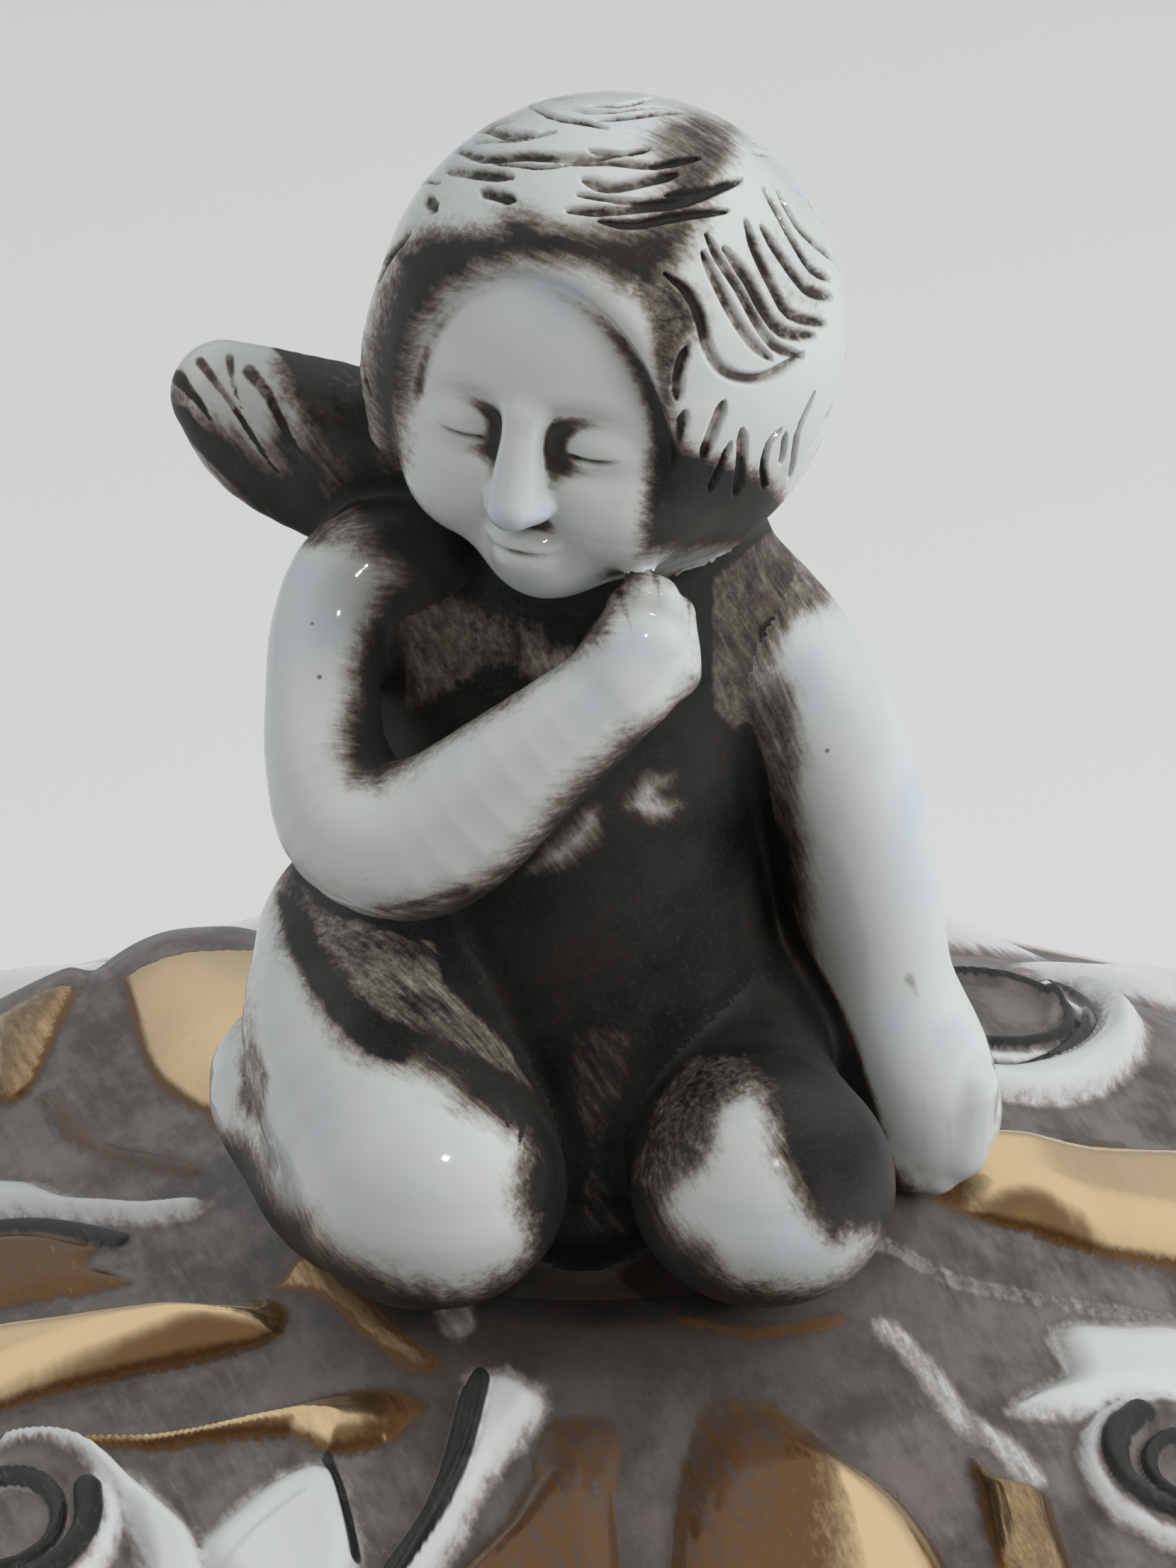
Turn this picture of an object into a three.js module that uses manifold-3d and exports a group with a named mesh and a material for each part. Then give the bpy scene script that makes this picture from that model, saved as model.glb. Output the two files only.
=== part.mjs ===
import * as THREE from 'three';
import { mergeVertices } from 'three/addons/utils/BufferGeometryUtils.js';
import Module from 'manifold-3d';

const wasm = await Module();
wasm.setup();

// Covered bowl of glazed and gilt pottery, with a kneeling winged child as the lid's finial.
// Millimetres, +Z up, origin under the centre of the foot, the child looks towards -Y.

// Gaps
const lutingGap = 0.3;
const mouthClearance = 1.2;

// Foot
const footHeight = 14;
const footRadius = 47;
const footWaistRadius = 38;
const footBoreRadius = 35;
const footRingHeight = 4;

// Bowl
const rimRadius = 86;
const scallopDepth = 1.6;
const scallopCount = 8;
const bowlHeight = 74;
const bellySetback = 4;
const bellyHeight = 44;
const neckSetback = 5;
const bowlSeatRadius = 41;
const bowlWall = 4.5;
const lipHeight = 5;
const bowlRibHeight = 2.5;
const bowlRibWidth = 9;
const bowlLobeHeight = 3.5;
const gadroonHeight = 1.8;
const gadroonAngle = 15;
const bowlGadroonStart = 5;
const bowlGadroonEnd = 52;

// Lid
const lidHeight = 44;
const lidEdgeHeight = 4;
const lidWall = 4.5;
const lidRibHeight = 2.6;
const lidRibShoulder = 3.4;
const lobeRing = 43;
const lobeRadius = 21;
const lobeHeight = 5;
const lowLobeHeight = 2.6;
const lidGadroonStart = 50;
const lidGadroonEnd = 83;
const flangeDepth = 7;
const flangeWall = 3.4;

// Handles
const handleReach = 30;
const handleTop = 65;
const handleBottom = 25;
const handleWidth = 6.2;
const handleThickness = 4;

// Figure
const figureHeight = 60;
const moundRadius = 15.5;
const moundHeight = 3.4;
const craniumRadius = 11.7;
const faceRadius = 8.5;
const neckRadiusOfChild = 5;
const chestWidth = 9.6;
const chestDepth = 6.7;
const waistWidth = 8.6;
const waistDepth = 6.8;
const hipWidth = 10.2;
const hipDepth = 8.4;
const upperArmRadius = 3;
const elbowRadius = 3.8;
const wristRadius = 2.7;
const handWidth = 2.9;
const handThickness = 2.2;
const restingArmRadius = 4.1;
const thighRadius = 7.6;
const kneeRadius = 6.3;
const calfRadius = 4.2;
const footRadiusOfChild = 3.1;
const leftLegShare = 0.86;
const wingRadius = 4.6;
const wingTipRadius = 2.75;
const wingThickness = 2.9;

// Directions of the relief round the axis, in degrees from +X
const lidLobes = [
  { angle: -37, height: lobeHeight },
  { angle: 48, height: lowLobeHeight },
  { angle: 132, height: lobeHeight },
  { angle: 217, height: lobeHeight },
];
const bowlRibAngles = [0, 90, 180, 270];
const bowlLobeAngles = [-45, 45, 135, 225];
const gadroonMiddles = [45, 135, 225, 315];

// Courses of the lid's ribs in plan: x, y and half width, from the crown out to the rim
const lidRibs = [
  [[16, 4.5, 3.5], [21, 4.5, 4.4], [31, 8, 6.2], [45, 11.5, 7.4], [62, 9, 8], [80, 3, 5]],
  [[-17, -9, 1.2], [-25, -8, 2.6], [-32, -7, 3.9], [-45, -6.6, 6], [-62, -5, 7.5], [-80, -2, 5]],
  [[7.5, -18, 1.8], [9, -21, 4.4], [11, -30, 8], [12.6, -44, 9], [10, -62, 8.5], [4, -80, 5]],
  [[-1.6, -20, 2], [-3.6, -28, 4.8], [-7, -46, 6.4], [-9, -58, 4]],
  [[-19.5, 12, 2], [-21, 22, 5], [-22, 34, 6], [-26, 48, 4]],
  [[0, 18, 4], [0, 30, 7], [0, 60, 9.5], [0, 80, 5]],
];

// Number of flats round plain turned pieces, round those with relief and round each limb
const turns = 64;
const reliefTurns = 120;
const limbSides = 12;

const radians = THREE.MathUtils.degToRad;
const smooth = THREE.MathUtils.smoothstep;
const lerp = THREE.MathUtils.lerp;

// Levels and radii that the pieces share
const bowlFoot = footHeight + lutingGap;
const rimLevel = bowlFoot + bowlHeight;
const lidLevel = rimLevel + lutingGap;
const crownLevel = lidLevel + lidHeight - moundHeight;
const moundLevel = crownLevel + lutingGap;
const figureLevel = moundLevel + moundHeight;
const crownRadius = moundRadius + 1;
const bellyRadius = rimRadius - bellySetback;
const neckRadius = rimRadius - neckSetback;
const mouthRadius = neckRadius - bowlWall;
const flangeRadius = mouthRadius - mouthClearance;

// Finishes
const glaze = { color: 0xdfe4e6, roughness: 0.18, metalness: 0 };
const patina = { color: 0x3b3733, roughness: 0.45, metalness: 0 };
const gilding = { color: 0xb9853a, roughness: 0.25, metalness: 0.9 };

function named(name, geometry, finish) {
  const mesh = new THREE.Mesh(geometry, new THREE.MeshStandardMaterial(finish));
  mesh.name = name;
  return mesh;
}

// A geometry as a solid for joining and cutting, and a solid as a geometry
function solid(geometry) {
  return new wasm.Manifold(new wasm.Mesh({
    numProp: 3,
    vertProperties: new Float32Array(geometry.attributes.position.array),
    triVerts: new Uint32Array(geometry.index.array),
  }));
}

function geometryOf(body) {
  const mesh = body.getMesh();
  const geometry = new THREE.BufferGeometry();
  geometry.setAttribute('position', new THREE.BufferAttribute(mesh.vertProperties, 3));
  geometry.setIndex(new THREE.BufferAttribute(mesh.triVerts, 1));
  return geometry;
}

function join(geometries) {
  return geometryOf(geometries.map(solid).reduce((whole, part) => whole.add(part)));
}

function cut(geometry, tools) {
  return geometryOf(tools.map(solid).reduce((whole, tool) => whole.subtract(tool), solid(geometry)));
}

// One ring of a turned piece, with relief(angle) moving it outwards and upwards
const plain = () => [0, 0];
function ring(radius, z, relief = plain) {
  return { radius, z, relief };
}

// A piece turned round the Z axis, each ring of its profile pressed by its own relief
function turned(rings, sides = turns) {
  const points = rings.map(({ radius, z }) => new THREE.Vector2(radius, z));
  const lathe = new THREE.LatheGeometry(points, sides);
  lathe.rotateX(Math.PI / 2);
  const position = lathe.attributes.position;
  for (let i = 0; i < position.count; i += 1) {
    const { radius, z, relief } = rings[i % rings.length];
    if (radius > 0) {
      const angle = Math.atan2(position.getY(i), position.getX(i));
      const [outwards, upwards] = relief(angle);
      const reach = radius + outwards;
      position.setXYZ(i, reach * Math.cos(angle), reach * Math.sin(angle), z + upwards);
    }
  }
  lathe.deleteAttribute('normal');
  lathe.deleteAttribute('uv');
  return mergeVertices(lathe, 1e-3);
}

// A swelling that grows from 0 at the edge of a form to 1 over its shoulder
function pillow(share) {
  const s = THREE.MathUtils.clamp(share, 0, 1);
  return s * (2 - s);
}

// How far inside a band of changing width a spot in plan lies
function insideBand(x, y, course) {
  let inside = -Infinity;
  for (let i = 1; i < course.length; i += 1) {
    const [ax, ay, fromHalf] = course[i - 1];
    const [bx, by, toHalf] = course[i];
    const [dx, dy] = [bx - ax, by - ay];
    const along = ((x - ax) * dx + (y - ay) * dy) / (dx * dx + dy * dy);
    const share = THREE.MathUtils.clamp(along, 0, 1);
    const away = Math.hypot(x - ax - share * dx, y - ay - share * dy);
    inside = Math.max(inside, lerp(fromHalf, toHalf, share) - away);
  }
  return inside;
}

function angleBetween(a, b) {
  const turn = 2 * Math.PI;
  const between = Math.abs(a - b) % turn;
  return Math.min(between, turn - between);
}

// Scalloped edge that foot, bowl and lid share
function scallop(angle) {
  return scallopDepth * 0.5 * (1 + Math.cos(scallopCount * angle));
}

// Rise of the gadroons, five rounded flutes in each quarter of which the middle one is longest
const gadroonsPerQuarter = 5;
const gadroonStep = 5;

function gadroonRise(angle, radius, place, start, end) {
  let rise = 0;
  for (const middle of gadroonMiddles) {
    for (let k = 0; k < gadroonsPerQuarter; k += 1) {
      const aside = k - (gadroonsPerQuarter - 1) / 2;
      const swing = angleBetween(angle, radians(middle + aside * gadroonAngle));
      const half = radius * radians(gadroonAngle / 2) * 0.92;
      const first = start(Math.abs(aside) * gadroonStep);
      const last = end(Math.abs(aside) * gadroonStep);
      const inside = Math.min(half - radius * swing, place - first, last - place);
      rise = Math.max(rise, gadroonHeight * pillow(inside / half));
    }
  }
  return rise;
}

// Foot: a spreading ring
function makeFoot() {
  const skirt = (angle) => [scallop(angle), 0];
  const shank = footHeight - footRingHeight;
  const rings = [
    ring(footBoreRadius, 0),
    ring(footRadius - 1, 0, skirt),
    ring(footRadius, 1, skirt),
    ring(footRadius, footRingHeight, skirt),
    ring(lerp(footRadius, footWaistRadius, 0.4), footRingHeight + shank * 0.15),
    ring(lerp(footRadius, footWaistRadius, 0.85), footRingHeight + shank * 0.45),
    ring(footWaistRadius, footRingHeight + shank * 0.75),
    ring(footWaistRadius + 1, footHeight),
    ring(footBoreRadius - 3, footHeight),
    ring(footBoreRadius, 0),
  ];
  return named('foot', turned(rings), gilding);
}

// Relief of the bowl's wall: gadroons on broad lobes, and a rib on each axis, at a share of its height
function wallRelief(radius, share, grow) {
  const climb = share * bowlHeight;
  const fade = smooth(share, 0.02, 0.3) * (1 - smooth(share, 0.75, 0.93));
  return (angle) => {
    let rib = 0;
    for (const direction of bowlRibAngles) {
      const across = radius * angleBetween(angle, radians(direction));
      rib += bowlRibHeight * Math.exp(-((across / bowlRibWidth) ** 2));
    }
    for (const direction of bowlLobeAngles) {
      rib += bowlLobeHeight * smooth(Math.cos(angleBetween(angle, radians(direction))), 0.75, 1);
    }
    const flute = gadroonRise(
      angle, radius, climb, () => bowlGadroonStart, (shortening) => bowlGadroonEnd - shortening,
    );
    return [grow + fade * (rib + scallop(angle)) + flute, 0];
  };
}

// Bowl: a lobed vessel with an everted lip
const bellyLevel = bowlFoot + bellyHeight;
const lipLevel = rimLevel - lipHeight;

function bowlOutside(grow) {
  const rim = (angle) => [grow + scallop(angle), 0];
  const wall = (radius, z) => ring(radius, z, wallRelief(radius, (z - bowlFoot) / bowlHeight, grow));
  const rings = [ring(0, bowlFoot)];
  for (const turn of [0, 12, 24, 36, 48, 59, 70, 80, 90]) {
    const a = radians(turn);
    const radius = bowlSeatRadius + (bellyRadius - bowlSeatRadius) * Math.sin(a);
    rings.push(wall(radius, bowlFoot + bellyHeight * (1 - Math.cos(a))));
  }
  rings.push(wall(lerp(bellyRadius, neckRadius, 0.4), lerp(bellyLevel, lipLevel, 0.5)));
  rings.push(wall(neckRadius, lipLevel));
  rings.push(ring(rimRadius, lipLevel + lipHeight * 0.4, rim));
  rings.push(ring(rimRadius, rimLevel, rim));
  return rings;
}

function makeBowl() {
  const rings = bowlOutside(0);
  rings.push(ring(mouthRadius, rimLevel));
  rings.push(ring(mouthRadius, lipLevel));
  for (const turn of [90, 68, 48, 28]) {
    const a = radians(turn);
    rings.push(ring(
      (bellyRadius - bowlWall) * Math.sin(a),
      bellyLevel - (bellyHeight - bowlWall) * Math.cos(a),
    ));
  }
  rings.push(ring(0, bowlFoot + bowlWall));
  return named('bowl', turned(rings, reliefTurns), glaze);
}

// The space that the bowl fills, which the handles' roots are cut to
function bowlBlock() {
  return turned([...bowlOutside(lutingGap), ring(0, rimLevel)], reliefTurns);
}

// Relief of the lid: ribs running down from the crown, domed lobes between them and gadroons by the rim
function lidRelief(radius) {
  const ribFade = smooth(radius, crownRadius, crownRadius + 6) * (1 - smooth(radius, lidGadroonEnd, rimRadius));
  return (angle) => {
    const [x, y] = [radius * Math.cos(angle), radius * Math.sin(angle)];
    const inside = Math.max(...lidRibs.map((course) => insideBand(x, y, course)));
    const flute = gadroonRise(
      angle, radius, radius, (shortening) => lidGadroonStart + shortening, () => lidGadroonEnd,
    );
    let rise = Math.max(ribFade * lidRibHeight * pillow(inside / lidRibShoulder), flute);
    for (const lobe of lidLobes) {
      const turn = angleBetween(angle, radians(lobe.angle));
      const gap = Math.hypot(radius * Math.cos(turn) - lobeRing, radius * Math.sin(turn));
      rise += lobe.height * (1 - smooth(gap, 0, lobeRadius));
    }
    return [scallop(angle) * smooth(radius, rimRadius * 0.6, rimRadius), rise];
  };
}

// Lid: a steep dome that falls away from a small flat crown
const lidFall = new THREE.SplineCurve([
  new THREE.Vector2(0, 0),
  new THREE.Vector2(0.13, 0.08),
  new THREE.Vector2(0.42, 0.35),
  new THREE.Vector2(0.72, 0.68),
  new THREE.Vector2(0.9, 0.89),
  new THREE.Vector2(1, 1),
]);

function domeAt(t) {
  const point = lidFall.getPoint(t);
  const edgeLevel = lidLevel + lidEdgeHeight;
  return [lerp(crownRadius, rimRadius, point.x), lerp(crownLevel, edgeLevel, point.y)];
}

function makeLid() {
  const edge = (angle) => [scallop(angle), 0];
  const rings = [ring(0, crownLevel - lidWall * 1.2)];
  const seatRadius = flangeRadius - flangeWall - 1;
  const innerSteps = 9;
  for (let i = 0; i < innerSteps; i += 1) {
    const [radius, z] = domeAt(i / innerSteps);
    if (radius < seatRadius - 6) rings.push(ring(radius, z - lidWall * 1.2));
  }
  rings.push(ring(seatRadius, lidLevel + lidWall * 0.8));
  rings.push(ring(seatRadius, lidLevel));
  rings.push(ring(rimRadius, lidLevel, edge));
  const steps = 17;
  for (let i = steps; i >= 0; i -= 1) {
    const [radius, z] = domeAt(i / steps);
    rings.push(ring(radius, z, lidRelief(radius)));
  }
  rings.push(ring(0, crownLevel));
  return named('lid', turned(rings, reliefTurns), gilding);
}

// Locating ring under the lid, which drops into the bowl's mouth
function makeFlange() {
  const top = lidLevel - lutingGap;
  const inner = flangeRadius - flangeWall;
  const rings = [
    ring(inner, top - flangeDepth),
    ring(flangeRadius - 1, top - flangeDepth),
    ring(flangeRadius, top - flangeDepth + 1),
    ring(flangeRadius, top),
    ring(inner, top),
    ring(inner, top - flangeDepth),
  ];
  return named('lid_flange', turned(rings), glaze);
}

// A rounded limb along a curve. Each station is a place with half widths across and through it
function station(at, across, through = across) {
  return { at, across, through };
}

function limb(stations, facing, grow = 0, sides = limbSides) {
  const path = new THREE.CatmullRomCurve3(stations.map(({ at }) => at));
  const sizes = new THREE.SplineCurve(stations.map((s) => new THREE.Vector2(s.across, s.through)));
  const steps = 3 * (stations.length - 1);
  const rings = [];
  for (let i = 0; i <= steps; i += 1) {
    const size = sizes.getPoint(i / steps);
    rings.push({
      centre: path.getPoint(i / steps),
      along: path.getTangent(i / steps),
      across: size.x + grow,
      through: size.y + grow,
    });
  }
  const ends = [rings[0], rings[steps]];
  const caps = ends.map((end, which) => [0.6, 0.9, 1].map((share) => {
    const bulge = Math.min(end.across, end.through) * 0.8;
    const narrow = Math.sqrt(Math.max(0, 1 - share * share));
    return {
      ...end,
      centre: end.centre.clone().addScaledVector(end.along, (which ? 1 : -1) * share * bulge),
      across: end.across * narrow,
      through: end.through * narrow,
    };
  }));
  const all = [...caps[0].reverse(), ...rings, ...caps[1]];
  const points = [];
  for (const { centre, along, across, through } of all) {
    const side = new THREE.Vector3().crossVectors(along, facing).normalize();
    const front = new THREE.Vector3().crossVectors(side, along);
    for (let k = 0; k < sides; k += 1) {
      const a = (2 * Math.PI * k) / sides;
      const point = centre.clone()
        .addScaledVector(side, across * Math.cos(a))
        .addScaledVector(front, through * Math.sin(a));
      points.push(point.x, point.y, point.z);
    }
  }
  const faces = [];
  for (let i = 0; i + 1 < all.length; i += 1) {
    for (let k = 0; k < sides; k += 1) {
      const a = i * sides + k;
      const b = i * sides + ((k + 1) % sides);
      faces.push(a, a + sides, b, b, a + sides, b + sides);
    }
  }
  const geometry = new THREE.BufferGeometry();
  geometry.setAttribute('position', new THREE.Float32BufferAttribute(points, 3));
  geometry.setIndex(faces);
  return mergeVertices(geometry, 1e-3);
}

// A ball pressed to three radii, turned about the upright axis
function ball(centre, radii, yaw = 0) {
  const sphere = new THREE.SphereGeometry(1, 20, 14);
  sphere.deleteAttribute('normal');
  sphere.deleteAttribute('uv');
  sphere.rotateX(Math.PI / 2);
  sphere.scale(...radii);
  sphere.rotateZ(yaw);
  sphere.translate(centre.x, centre.y, centre.z);
  return mergeVertices(sphere, 1e-3);
}

// Handle: a scroll with its two roots on the bowl's wall, on the +X or the -X side
function makeHandle(name, side) {
  const outer = rimRadius + handleReach;
  const top = bowlFoot + handleTop;
  const bottom = bowlFoot + handleBottom;
  const at = (x, z) => new THREE.Vector3(side * x, 0, z);
  const scroll = limb([
    station(at(bellyRadius - 1, top - 4), handleWidth * 1.25, handleThickness * 1.3),
    station(at(lerp(bellyRadius, outer, 0.45), top + 2), handleWidth, handleThickness),
    station(at(lerp(bellyRadius, outer, 0.9), top - 2), handleWidth, handleThickness),
    station(at(outer - handleThickness, lerp(top, bottom, 0.45)), handleWidth, handleThickness),
    station(at(lerp(bellyRadius, outer, 0.62), lerp(top, bottom, 0.85)), handleWidth * 0.9, handleThickness * 0.9),
    station(at(bellyRadius - 2, bottom), handleWidth * 1.1, handleThickness * 1.2),
  ], new THREE.Vector3(0, 1, 0));
  return named(name, cut(scroll, [bowlBlock()]), gilding);
}

// Figure: joints of the child in hundredths of its height, from the top of the mound
function joint(x, y, z) {
  const point = new THREE.Vector3(x, y, z).multiplyScalar(figureHeight / 100);
  return point.add(new THREE.Vector3(0, 0, figureLevel));
}

const bodyFacing = new THREE.Vector3(0.34, -0.94, 0);
const faceYaw = radians(-23);
const upright = new THREE.Vector3(0, 0, 1);

function moundShape(grow = 0) {
  return turned([
    ring(0, moundLevel - grow),
    ring(moundRadius + grow, moundLevel - grow),
    ring(moundRadius + grow, moundLevel + moundHeight * 0.15),
    ring(moundRadius * 0.93 + grow, moundLevel + moundHeight * 0.4),
    ring(moundRadius * 0.86 + grow, figureLevel + grow),
    ring(0, figureLevel + grow),
  ], turns / 2);
}

function torsoShape(grow = 0) {
  return limb([
    station(joint(-1.2, 6.5, 11), hipWidth, hipDepth),
    station(joint(-1, 4.5, 21), hipWidth * 0.92, hipDepth * 0.92),
    station(joint(-1.8, 4, 33), waistWidth, waistDepth),
    station(joint(-2.6, 3.4, 43), chestWidth, chestDepth),
    station(joint(-1.6, 4, 51.5), chestWidth * 0.86, chestDepth * 0.84),
    station(joint(0.4, 4, 60.5), neckRadiusOfChild * 1.1, neckRadiusOfChild),
  ], bodyFacing, grow, 16);
}

function headShape(grow = 0) {
  const cranium = ball(joint(0.7, 2, 80.6), Array(3).fill(craniumRadius + grow));
  const face = ball(
    joint(-1.8, -2.6, 78.8),
    [faceRadius + grow, faceRadius * 0.9 + grow, faceRadius * 1.24 + grow],
    faceYaw,
  );
  const chin = ball(joint(-4.6, -9.2, 66.8), Array(3).fill(faceRadius * 0.33 + grow));
  const nose = ball(joint(-7.2, -15.2, 75), Array(3).fill(faceRadius * 0.17 + grow));
  const neck = limb([
    station(joint(1, 3.3, 62), neckRadiusOfChild),
    station(joint(1, 2.6, 70), neckRadiusOfChild),
  ], bodyFacing, grow);
  return join([cranium, face, chin, nose, neck]);
}

function legShape(hip, middle, knee, calf, ankle, toe, share, grow) {
  const thigh = limb([
    station(hip, thighRadius * share),
    station(middle, lerp(thighRadius, kneeRadius, 0.3) * share),
    station(knee, kneeRadius),
  ], upright, grow);
  const shin = limb([
    station(knee.clone().lerp(calf, 0.35), calfRadius),
    station(calf, calfRadius * share),
    station(ankle, calfRadius * 0.9 * share),
    station(toe, footRadiusOfChild),
  ], upright, grow);
  return join([thigh, shin]);
}

function rightLegShape(grow = 0) {
  return legShape(
    joint(-17.3, 2.7, 18),
    joint(-18.4, -8.3, 15.6),
    joint(-14.2, -19.4, 10.6),
    joint(-24.7, -3.3, 4.4),
    joint(-27, 6.7, 4.2),
    joint(-21.5, 16.5, 3),
    1,
    grow,
  );
}

function leftLegShape(grow = 0) {
  return legShape(
    joint(9.3, 7.7, 14.3),
    joint(10.7, -5.7, 11.7),
    joint(13.6, -19.2, 10.3),
    joint(15.7, -5, 4),
    joint(16.2, 6, 3.4),
    joint(14.7, 17, 3),
    leftLegShare,
    grow,
  );
}

function rightArmShape(grow = 0) {
  return limb([
    station(joint(-15, 3.7, 57.3), upperArmRadius * 1.12),
    station(joint(-20.3, 1.3, 57.7), upperArmRadius * 1.07),
    station(joint(-23.3, -6.7, 50.3), upperArmRadius),
    station(joint(-20.3, -14.3, 42.8), elbowRadius),
    station(joint(-14.5, -17, 43.3), elbowRadius),
    station(joint(-6.5, -18, 50.8), lerp(elbowRadius, wristRadius, 0.4)),
    station(joint(1.2, -17.3, 57.8), wristRadius, wristRadius * 0.9),
    station(joint(3.2, -16.3, 61), handWidth, handThickness),
    station(joint(4.1, -15.7, 64), handWidth * 0.8, handThickness * 0.6),
  ], bodyFacing, grow);
}

function leftArmShape(grow = 0) {
  return limb([
    station(joint(8.7, 5.3, 52.2), restingArmRadius),
    station(joint(12.7, 5, 50), restingArmRadius),
    station(joint(16.8, 4.3, 44.3), restingArmRadius),
    station(joint(20, 3.7, 36.5), restingArmRadius),
    station(joint(22.2, 3.3, 25.7), restingArmRadius),
    station(joint(23.7, 3.2, 15.5), restingArmRadius),
    station(joint(26.7, 3, 7.3), restingArmRadius * 1.05, restingArmRadius),
    station(joint(28.2, 3, 3), restingArmRadius * 0.95, restingArmRadius * 0.85),
  ], bodyFacing, grow);
}

function wingShape(root, middle, tip, facing) {
  return limb([
    station(root, wingRadius, wingThickness),
    station(middle, wingRadius, wingThickness),
    station(middle.clone().lerp(tip, 0.6), lerp(wingRadius, wingTipRadius, 0.3), wingThickness),
    station(tip, wingTipRadius, wingThickness * 0.9),
  ], facing);
}

function rightWingShape() {
  return wingShape(
    joint(-11, 9.3, 57.7),
    joint(-19.8, 11, 62.7),
    joint(-31.8, 13.3, 68.3),
    new THREE.Vector3(0.12, -0.99, 0),
  );
}

function leftWingShape() {
  return wingShape(
    joint(6.7, 12.7, 54.7),
    joint(9.3, 20.3, 60.7),
    joint(12, 32, 67.3),
    new THREE.Vector3(0.97, -0.24, 0),
  );
}

// Each piece is cut by the ones that were set before it, with the luting gap between them
function makeFigure() {
  const figure = new THREE.Group();
  const gap = lutingGap;
  const tools = [moundShape(gap)];
  const add = (name, shape, tool, finish = glaze) => {
    figure.add(named(name, cut(shape, tools), finish));
    if (tool) tools.push(tool);
  };
  figure.add(named('figure_mound', moundShape(), patina));
  add('torso', torsoShape(), torsoShape(gap), patina);
  add('leg_right', rightLegShape(), rightLegShape(gap));
  add('leg_left', leftLegShape(), leftLegShape(gap));
  add('head', headShape(), headShape(gap));
  add('arm_right', rightArmShape(), rightArmShape(gap));
  add('arm_left', leftArmShape(), leftArmShape(gap));
  add('wing_right', rightWingShape());
  add('wing_left', leftWingShape());
  return figure;
}

const coveredBowl = new THREE.Group();
coveredBowl.add(makeFoot());
coveredBowl.add(makeBowl());
coveredBowl.add(makeHandle('handle_right', 1));
coveredBowl.add(makeHandle('handle_left', -1));
coveredBowl.add(makeLid());
coveredBowl.add(makeFlange());
coveredBowl.add(makeFigure());

export default coveredBowl;
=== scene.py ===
import math
from itertools import product

import bpy
import numpy as np
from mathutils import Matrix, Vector


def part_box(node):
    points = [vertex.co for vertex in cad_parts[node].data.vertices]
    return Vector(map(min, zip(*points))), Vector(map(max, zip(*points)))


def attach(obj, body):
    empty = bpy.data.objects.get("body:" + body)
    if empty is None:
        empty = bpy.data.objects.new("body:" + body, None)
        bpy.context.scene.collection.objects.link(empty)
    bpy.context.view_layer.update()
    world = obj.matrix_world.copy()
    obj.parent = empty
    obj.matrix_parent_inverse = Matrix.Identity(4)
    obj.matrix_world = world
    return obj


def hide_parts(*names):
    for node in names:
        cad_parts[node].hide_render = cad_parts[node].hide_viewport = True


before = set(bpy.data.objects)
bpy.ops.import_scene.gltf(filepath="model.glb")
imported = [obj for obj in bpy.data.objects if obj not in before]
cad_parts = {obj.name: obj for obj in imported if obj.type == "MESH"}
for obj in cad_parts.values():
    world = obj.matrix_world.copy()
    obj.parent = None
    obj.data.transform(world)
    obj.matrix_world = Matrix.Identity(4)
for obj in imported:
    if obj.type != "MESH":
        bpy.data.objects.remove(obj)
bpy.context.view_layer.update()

# Table and light
# The bowl stands on a pale matt table under a broad overcast sky, with a brown room that the gold reflects.
# The view is a close one of the lid's finial, from a third of a right angle above the table.

MM = 0.001
TABLE_SIZE = 6.0
TABLE_TONES = (0.67, 0.67, 0.685, 1), (0.62, 0.62, 0.64, 1)

# The view, in mm over the child's ground
VIEW_SLOPE = math.radians(32)
VIEW_DISTANCE = 420.0
VIEW_TARGET = np.array([-0.74, 0, 22.7])
VIEW_BACK = np.array([0, -math.cos(VIEW_SLOPE), math.sin(VIEW_SLOPE)])
VIEW_UP = np.array([0, math.sin(VIEW_SLOPE), math.cos(VIEW_SLOPE)])
PICTURE_MM_AT_CHILD = 2212 / 27.7
SENSOR = 36.0

child_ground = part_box("figure_mound")[1][2] / MM
view_back = Vector(VIEW_BACK)


def placed(name, data):
    item = bpy.data.objects.new(name, data)
    bpy.context.collection.objects.link(item)
    return item


camera_data = bpy.data.cameras.new("view")
camera_data.sensor_width = SENSOR
camera_data.lens = SENSOR * VIEW_DISTANCE / PICTURE_MM_AT_CHILD
camera_data.clip_start = 0.01
camera = placed("view", camera_data)
camera.location = Vector(VIEW_TARGET + [0, 0, child_ground]) * MM + view_back * (VIEW_DISTANCE * MM)
camera.rotation_euler = view_back.to_track_quat("Z", "Y").to_euler()
bpy.context.scene.camera = camera
bpy.context.scene.view_settings.view_transform = "Standard"


def new_material(name):
    material = bpy.data.materials.new(name)
    material.use_nodes = True
    return material, material.node_tree, material.node_tree.nodes["Principled BSDF"]


def feed(tree, socket, value):
    """Sets a socket to a number or a colour, or links another socket to it."""
    if isinstance(value, (int, float, tuple)):
        socket.default_value = value
    else:
        tree.links.new(value, socket)


def noise(tree, vector, scale, detail=2.0, rough=0.5):
    texture = tree.nodes.new("ShaderNodeTexNoise")
    for label, value in (("Scale", scale), ("Detail", detail), ("Roughness", rough)):
        texture.inputs[label].default_value = value
    if vector is not None:
        tree.links.new(vector, texture.inputs["Vector"])
    return texture.outputs["Fac"]


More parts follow.
